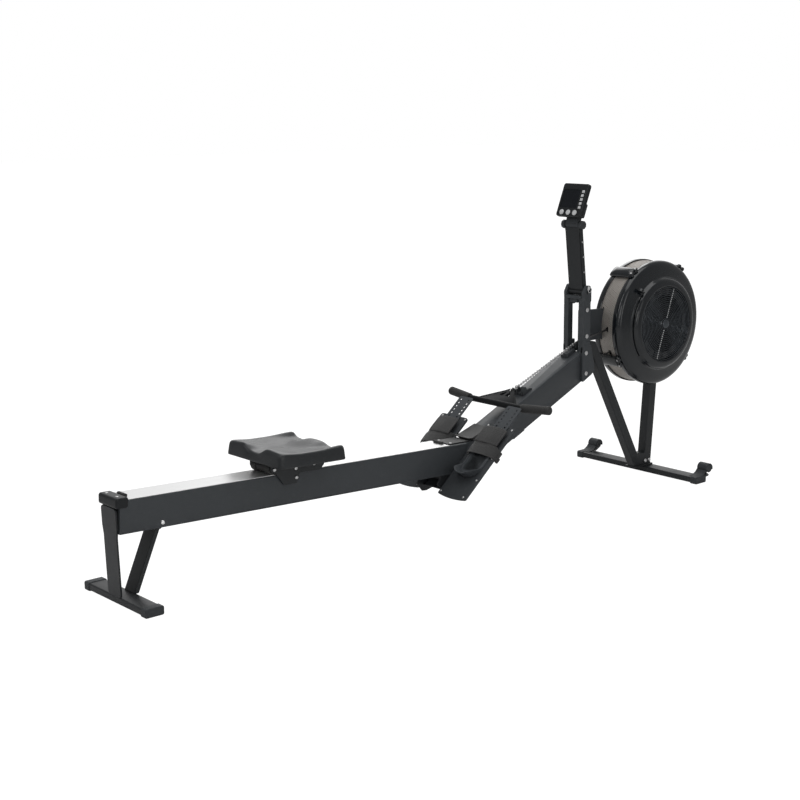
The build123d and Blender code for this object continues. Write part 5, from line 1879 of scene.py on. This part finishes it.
@dataclass
class Seat:
    """The moulded saddle on its rolling carriage."""

    bench: Bench
    x: float = 634.0
    run: Flat = (-128.0, 134.0)
    half: float = 148.0
    corner: float = 17.0
    lip: float = 39.6
    axles: tuple[tuple[str, float], ...] = (("rear", -85.0), ("front", 70.0))
    axle_z: float = 17.85
    dish_run: float = 95.0
    mesh_step: float = 15.0
    cheek_half: float = 57.0
    roof: Flat = (40.3, 44.0)
    rear_edge: tuple[Flat, ...] = ((0, 68), (20, 69.5), (64, 91), (100, 88.5), (139, 85), (148, 83))
    middle: tuple[Flat, ...] = ((0, 66), (40, 67), (80, 71), (115, 76), (137, 79), (148, 77))
    front_edge: tuple[Flat, ...] = ((0, 81), (28, 80), (72, 68.5), (104, 71), (130, 85), (148, 80))

    def across(self, knots: tuple[Flat, ...], y: float) -> float:
        """Finds the height along one cross-section, eased from knot to knot.

        Args:
            knots: Distance from the middle and height of each knot.
            y: Place across the seat.

        Returns:
            The height.
        """
        y = min(abs(y), knots[-1][0])
        for (y0, z0), (y1, z1) in zip(knots, knots[1:]):
            if y <= y1:
                return z0 + (z1 - z0) * ramp((y - y0) / (y1 - y0))
        return knots[-1][1]

    def height(self, x: float, y: float) -> float:
        """Finds the saddle's height over a point.

        Args:
            x: Place along the seat, from its middle.
            y: Place across the seat.

        Returns:
            The height above the rail.
        """
        low, high = self.run
        dish = ramp((x - low) / self.dish_run) if x < 0 else 1.0
        nose = ramp((x - 12) / (high - 12 - 10))
        edges = (self.rear_edge, self.middle, self.front_edge)
        rear, middle, front = (self.across(knots, y) for knots in edges)
        return (rear + (middle - rear) * dish) * (1 - nose) + front * nose

    def outline(self) -> list[Flat]:
        """Draws the saddle's outline about its middle.

        Returns:
            Points of X and Y.
        """
        half_x = (self.run[1] - self.run[0]) / 2
        outline = chamfered((-half_x, half_x), (-self.half, self.half), self.corner, 6)
        dense = []
        for (ax, ay), (bx, by) in zip(outline, outline[1:] + outline[:1]):
            parts = max(1, round(math.hypot(bx - ax, by - ay) / self.mesh_step))
            dense += [(ax + (bx - ax) * k / parts, ay + (by - ay) * k / parts) for k in range(parts)]
        return dense

    def saddle(self) -> None:
        """Makes the shell: dished top, rolled edge and flared skirt."""
        mid, half_x = sum(self.run) / 2, (self.run[1] - self.run[0]) / 2
        inner, lip = half_x - 3, self.lip
        level_rings = ((inner, 44.0), (70, 44.0), (20, 44.6), (7, 44.6), (4.6, 43.0), (3.6, lip + 0.4),
                       (1.8, lip), (0.3, lip + 0.5), (0.1, lip + 3), (1.2, lip + 14))
        top_rings = ((2.4, 18.0), (3.6, 9.5), (5.2, 5.0), (7.6, 2.0), (11.0, 0.3), (15, 0), (20, 0), (27, 0),
                     (36, 0), (48, 0), (60, 0), (72, 0), (84, 0), (96, 0), (108, 0), (118, 0), (inner, 0))
        rings, dense = [], self.outline()
        for inset, level in level_rings:
            fx, fy = 1 - inset / half_x, 1 - inset / self.half
            rings.append([(self.x + mid + x * fx, y * fy, level) for x, y in dense])
        for inset, drop in top_rings:
            fx, fy = 1 - inset / half_x, 1 - inset / self.half
            rings.append([(self.x + mid + x * fx, y * fy, self.height(mid + x * fx, y * fy) - drop)
                          for x, y in dense])
        piece = Shape("seat_pad", RAIL).skin(rings).object(180)
        soft = piece.modifiers.new("soft", "SUBSURF")
        soft.levels = soft.render_levels = 1
        self.bench.fit(piece, Finish.SEAT)

    def carriage(self) -> None:
        """Makes the folded carriage, its axles, bolts and rollers."""
        rear, front, half, under = self.x - 99, self.x + 112, self.cheek_half, self.roof[0] + 1
        top = Shape("top", RAIL)
        top.slab(eased([(rear, -half), (front, -half), (front, half), (rear, half)], 8), self.roof)
        side = eased([(rear, under), (front, under), (front, 12), (front - 16, -5), (self.x + 14, -5),
                      (self.x + 2, -37), (self.x - 46, -37), (self.x - 78, 2), (rear, 14)], 6)
        cheeks, pads = Shape("cheeks", RAIL), Shape("pads", RAIL)
        for s in (-1, 1):
            cheeks.prism(side, sided(s, half - 3, half))
            pads.box((self.x - 44, self.x - 2), sided(s, 51.6, 54.2), (-34, -20))
        for _, reach in self.axles:
            pads.rod((self.x + reach, -half, self.axle_z), (self.x + reach, half, self.axle_z), 5)
        parts = [top.bevelled(1.2), cheeks.bevelled(0.9), pads.bevelled(0.8)]
        self.bench.fit(joined("seat_carriage", *parts), Finish.LEG)
        ends = [(-2, 12), (1, -18)] + [(reach, self.axle_z) for _, reach in self.axles]
        spots = [spot(RAIL, (self.x + dx, s * 56.9, z), (0, s, 0)) for s in (-1, 1) for dx, z in ends]
        self.bench.spread("carriage_bolts", button_head(6.0, 3.4), spots, Finish.STEEL, "seat", "zinc")
        tread = [(5.1, 49), (16, 49), (17.8, 47.2), (17.8, 24), (14, 22)]
        profile = [(r, -y) for r, y in tread] + tread[::-1]
        for which, reach in self.axles:
            roller = Shape(f"seat_roller_{which}", RAIL).turned(profile, self.x + reach, self.axle_z, 40)
            self.bench.fit(roller.object(30), Finish.RUBBER)

    def build(self) -> None:
        """Builds the seat."""
        self.saddle()
        self.carriage()


# ---- monitor ----

@dataclass
class Monitor:
    """The folding arm, its clamps, and the display unit with its buttons."""

    bench: Bench
    face: float = -43.0
    back: float = -27.0
    half: float = 61.8
    low: float = 17.5
    high: float = 144.0
    button_y: tuple[float, ...] = (35.0, 3.5, -28.0)
    button_z: float = 32.5
    keys: int = 5
    first_key: float = 53.0
    key_pitch: float = 15.0

    def arm(self) -> None:
        """Makes the channel arm with its barrel, ears and rivets."""
        h = ARM_HEIGHT
        arm = Shape("arm", ARM).box((-9, -6), (-35, 35), (0, h - 8.5)).box((-9, 11), (-35, 35), (4, 14))
        cheek = eased([(-9, 2), (11, 2), (11, h - 30), (13, h - 6), (6, h + 10), (-6, h + 10), (-12.4, h - 2),
                       (-9, h - 24)], 6, 4)
        for s in (-1, 1):
            arm.prism(cheek, sided(s, 31.6, 35))
        barrel = Shape("barrel", ARM)
        barrel.turned([(5.1, -37), (10.6, -37), (11.4, -36.2), (11.4, 36.2), (10.6, 37), (5.1, 37)], steps=40)
        self.bench.fit(joined("monitor_arm", arm.bevelled(1.1, 3), barrel.object(30)), Finish.LEG)
        spots = [spot(ARM, (3, s * 34.9, h - z), (0, s, 0)) for z in (64, 120, 176) for s in (-1, 1)]
        self.bench.spread("arm_rivets", button_head(3.0, 1.6), spots, Finish.STEEL, "arm", "zinc")

    def clamps(self) -> None:
        """Makes the lock pin with its ring, and the fluted knobs on their spindle."""
        pin = Shape("lock_pin", ARM)
        x, z = 3.0, 16.8
        pin.rod((x, -58, z), (x, -31, z), 3, 18, 0.5).rod((x, -56, z), (x, -51, z), 6.5, 24, 0.8)
        pin.pipe([(x, -58, z) for x, z in arc(x, z - 7, 9, FINE_TURN)], 1.4, 10, loop=True)
        self.bench.fit(pin.object(50), Finish.STEEL)
        knobs = Shape("pivot_knobs", MONITOR)
        for s in (-1, 1):
            rings = []
            for y, base in ((35.4, 14.2), (36.4, 15.4), (48.2, 15.4), (49.4, 14.4), (50, 12.4)):
                flutes = [(base + 0.55 * math.cos(9 * a), a) for a in turns(72)]
                rings.append([(r * math.cos(a), s * y, r * math.sin(a)) for r, a in flutes])
            knobs.skin(rings)
        knobs.rod((0, -40, 0), (0, 40, 0), 5)
        self.bench.fit(knobs.object(50), Finish.MATT)

    def case(self) -> None:
        """Makes the front shell with its window and rim, the screen and the rear cover."""
        rings, half, face, back = [], self.half, self.face, self.back
        for x, inset in ((back, 0.6), (back - 1.2, 0), (face + 4.4, 0), (face + 2.2, 0.8), (face + 0.7, 2.2),
                         (face, 4.0)):
            outline = chamfered((-half + inset, half - inset), (self.low + inset, self.high - inset),
                                9 - inset * 0.5, 6)
            rings.append([(x, y, z) for y, z in outline])
        shell = Shape("monitor_case", MONITOR).skin(rings)
        window = Shape("window", MONITOR).bar(chamfered((-30, 50), (50, 120), 2.5), (face - 3, face + 2.6))
        wells = Shape("wells", MONITOR)
        for y in self.button_y:
            wells.bar(arc(y, self.button_z, 11, FINE_TURN), (face - 3, face + 1.2))
        for k in range(self.keys):
            z = self.first_key + self.key_pitch * k
            wells.bar(chamfered((-51, -37), (z - 6, z + 6), 2.2), (face - 3, face + 1.0))
        self.bench.fit(carve(shell.object(30), window.object(), wells.object()), Finish.CASE)
        screen = Shape("monitor_screen", MONITOR)
        screen.bar(chamfered((-29.6, 49.6), (50.4, 119.6), 2.3), (face + 1.1, face + 3.6))
        self.bench.fit(screen.object(), Finish.SCREEN)
        cover = Shape("cover", MONITOR)
        cover.bar(chamfered((-57, 57), (20.5, 141), 8, 5), (back - 0.5, back + 3))
        cover.bar(chamfered((-48, 48), (23.5, 77.5), 5), (back, back + 22)).box((-14, 2), (-30, 30), (0, 37))
        for k in range(6):
            cover.box((back + 2, back + 4.4), (-34, 34), (92 + 7 * k, 94.4 + 7 * k))
        barrel = Shape("barrel", MONITOR)
        barrel.turned([(5.1, -30.6), (10.7, -30.6), (11.5, -29.8), (11.5, 29.8), (10.7, 30.6), (5.1, 30.6)],
                      steps=40)
        self.bench.fit(joined("monitor_back", cover.bevelled(1.4, 3), barrel.object(30)), Finish.MATT)

    def buttons(self) -> None:
        """Makes three round buttons and five side keys with soft crowns."""
        face = self.face
        for number, y in enumerate(self.button_y, 1):
            rows = ((face + 6, 10.0), (face - 0.2, 10.0), (face - 1.1, 9.4), (face - 1.5, 8.0),
                    (face - 1.6, 5.0))
            button = Shape(f"round_button_{number}", MONITOR)
            button.skin([[(x, y + r * math.cos(a), self.button_z + r * math.sin(a)) for a in turns(36)]
                         for x, r in rows])
            self.bench.fit(button.object(60), Finish.KEYS)
        for number in range(1, self.keys + 1):
            z = self.first_key + self.key_pitch * (number - 1)
            rows = ((face + 6, 0.0), (face - 0.3, 0.0), (face - 0.9, 0.5), (face - 1.2, 1.4))
            key = Shape(f"side_key_{number}", MONITOR)
            key.skin([[(x, y, w) for y, w in chamfered((-50 + i, -38 - i), (z - 5 + i, z + 5 - i), 2.4 - i)]
                      for x, i in rows])
            self.bench.fit(key.object(60), Finish.KEYS)

    def build(self) -> None:
        """Builds the arm and the display unit."""
        self.arm()
        self.clamps()
        self.case()
        self.buttons()


def main() -> None:
    """Builds the machine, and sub-assembly by sub-assembly."""
    logging.basicConfig(level=logging.INFO, format="%(message)s")
    record = frame["record"]
    slots = {entry["node"]: entry["material_slot"] for entry in record["subparts"]}
    owners = {node: body for body, nodes in record["behaviour"]["bodies"].items() for node in nodes}
    Studio().build()
    bench = Bench(slots, owners)
    plain = {"charcoal_paint": Finish.FRAME, "black_paint": Finish.LEG, "grey_plastic": Finish.COVER,
             "black_plastic": Finish.GLOSS, "dark_plastic": Finish.MATT, "steel": Finish.TRACK,
             "zinc": Finish.STEEL, "mesh": Finish.PERFORATED, "aluminium": Finish.STEEL, "cast": Finish.CAST,
             "rubber": Finish.RUBBER, "strap": Finish.STRAP, "cord": Finish.RUBBER, "screen": Finish.SCREEN,
             "key": Finish.KEYS, "pad": Finish.SEAT}
    for node, slot in slots.items():
        bench.coat(plain[slot], node)
    for kind in (Rail, Beam, FrontFrame, Fasteners, Cage, Fan, Drive, Handle, Footrests, Seat, Monitor):
        kind(bench).build()
        LOG.info("%s built", kind.__name__)
    bpy.context.scene.view_settings.view_transform = "Standard"


if __name__ == "__main__":
    main()
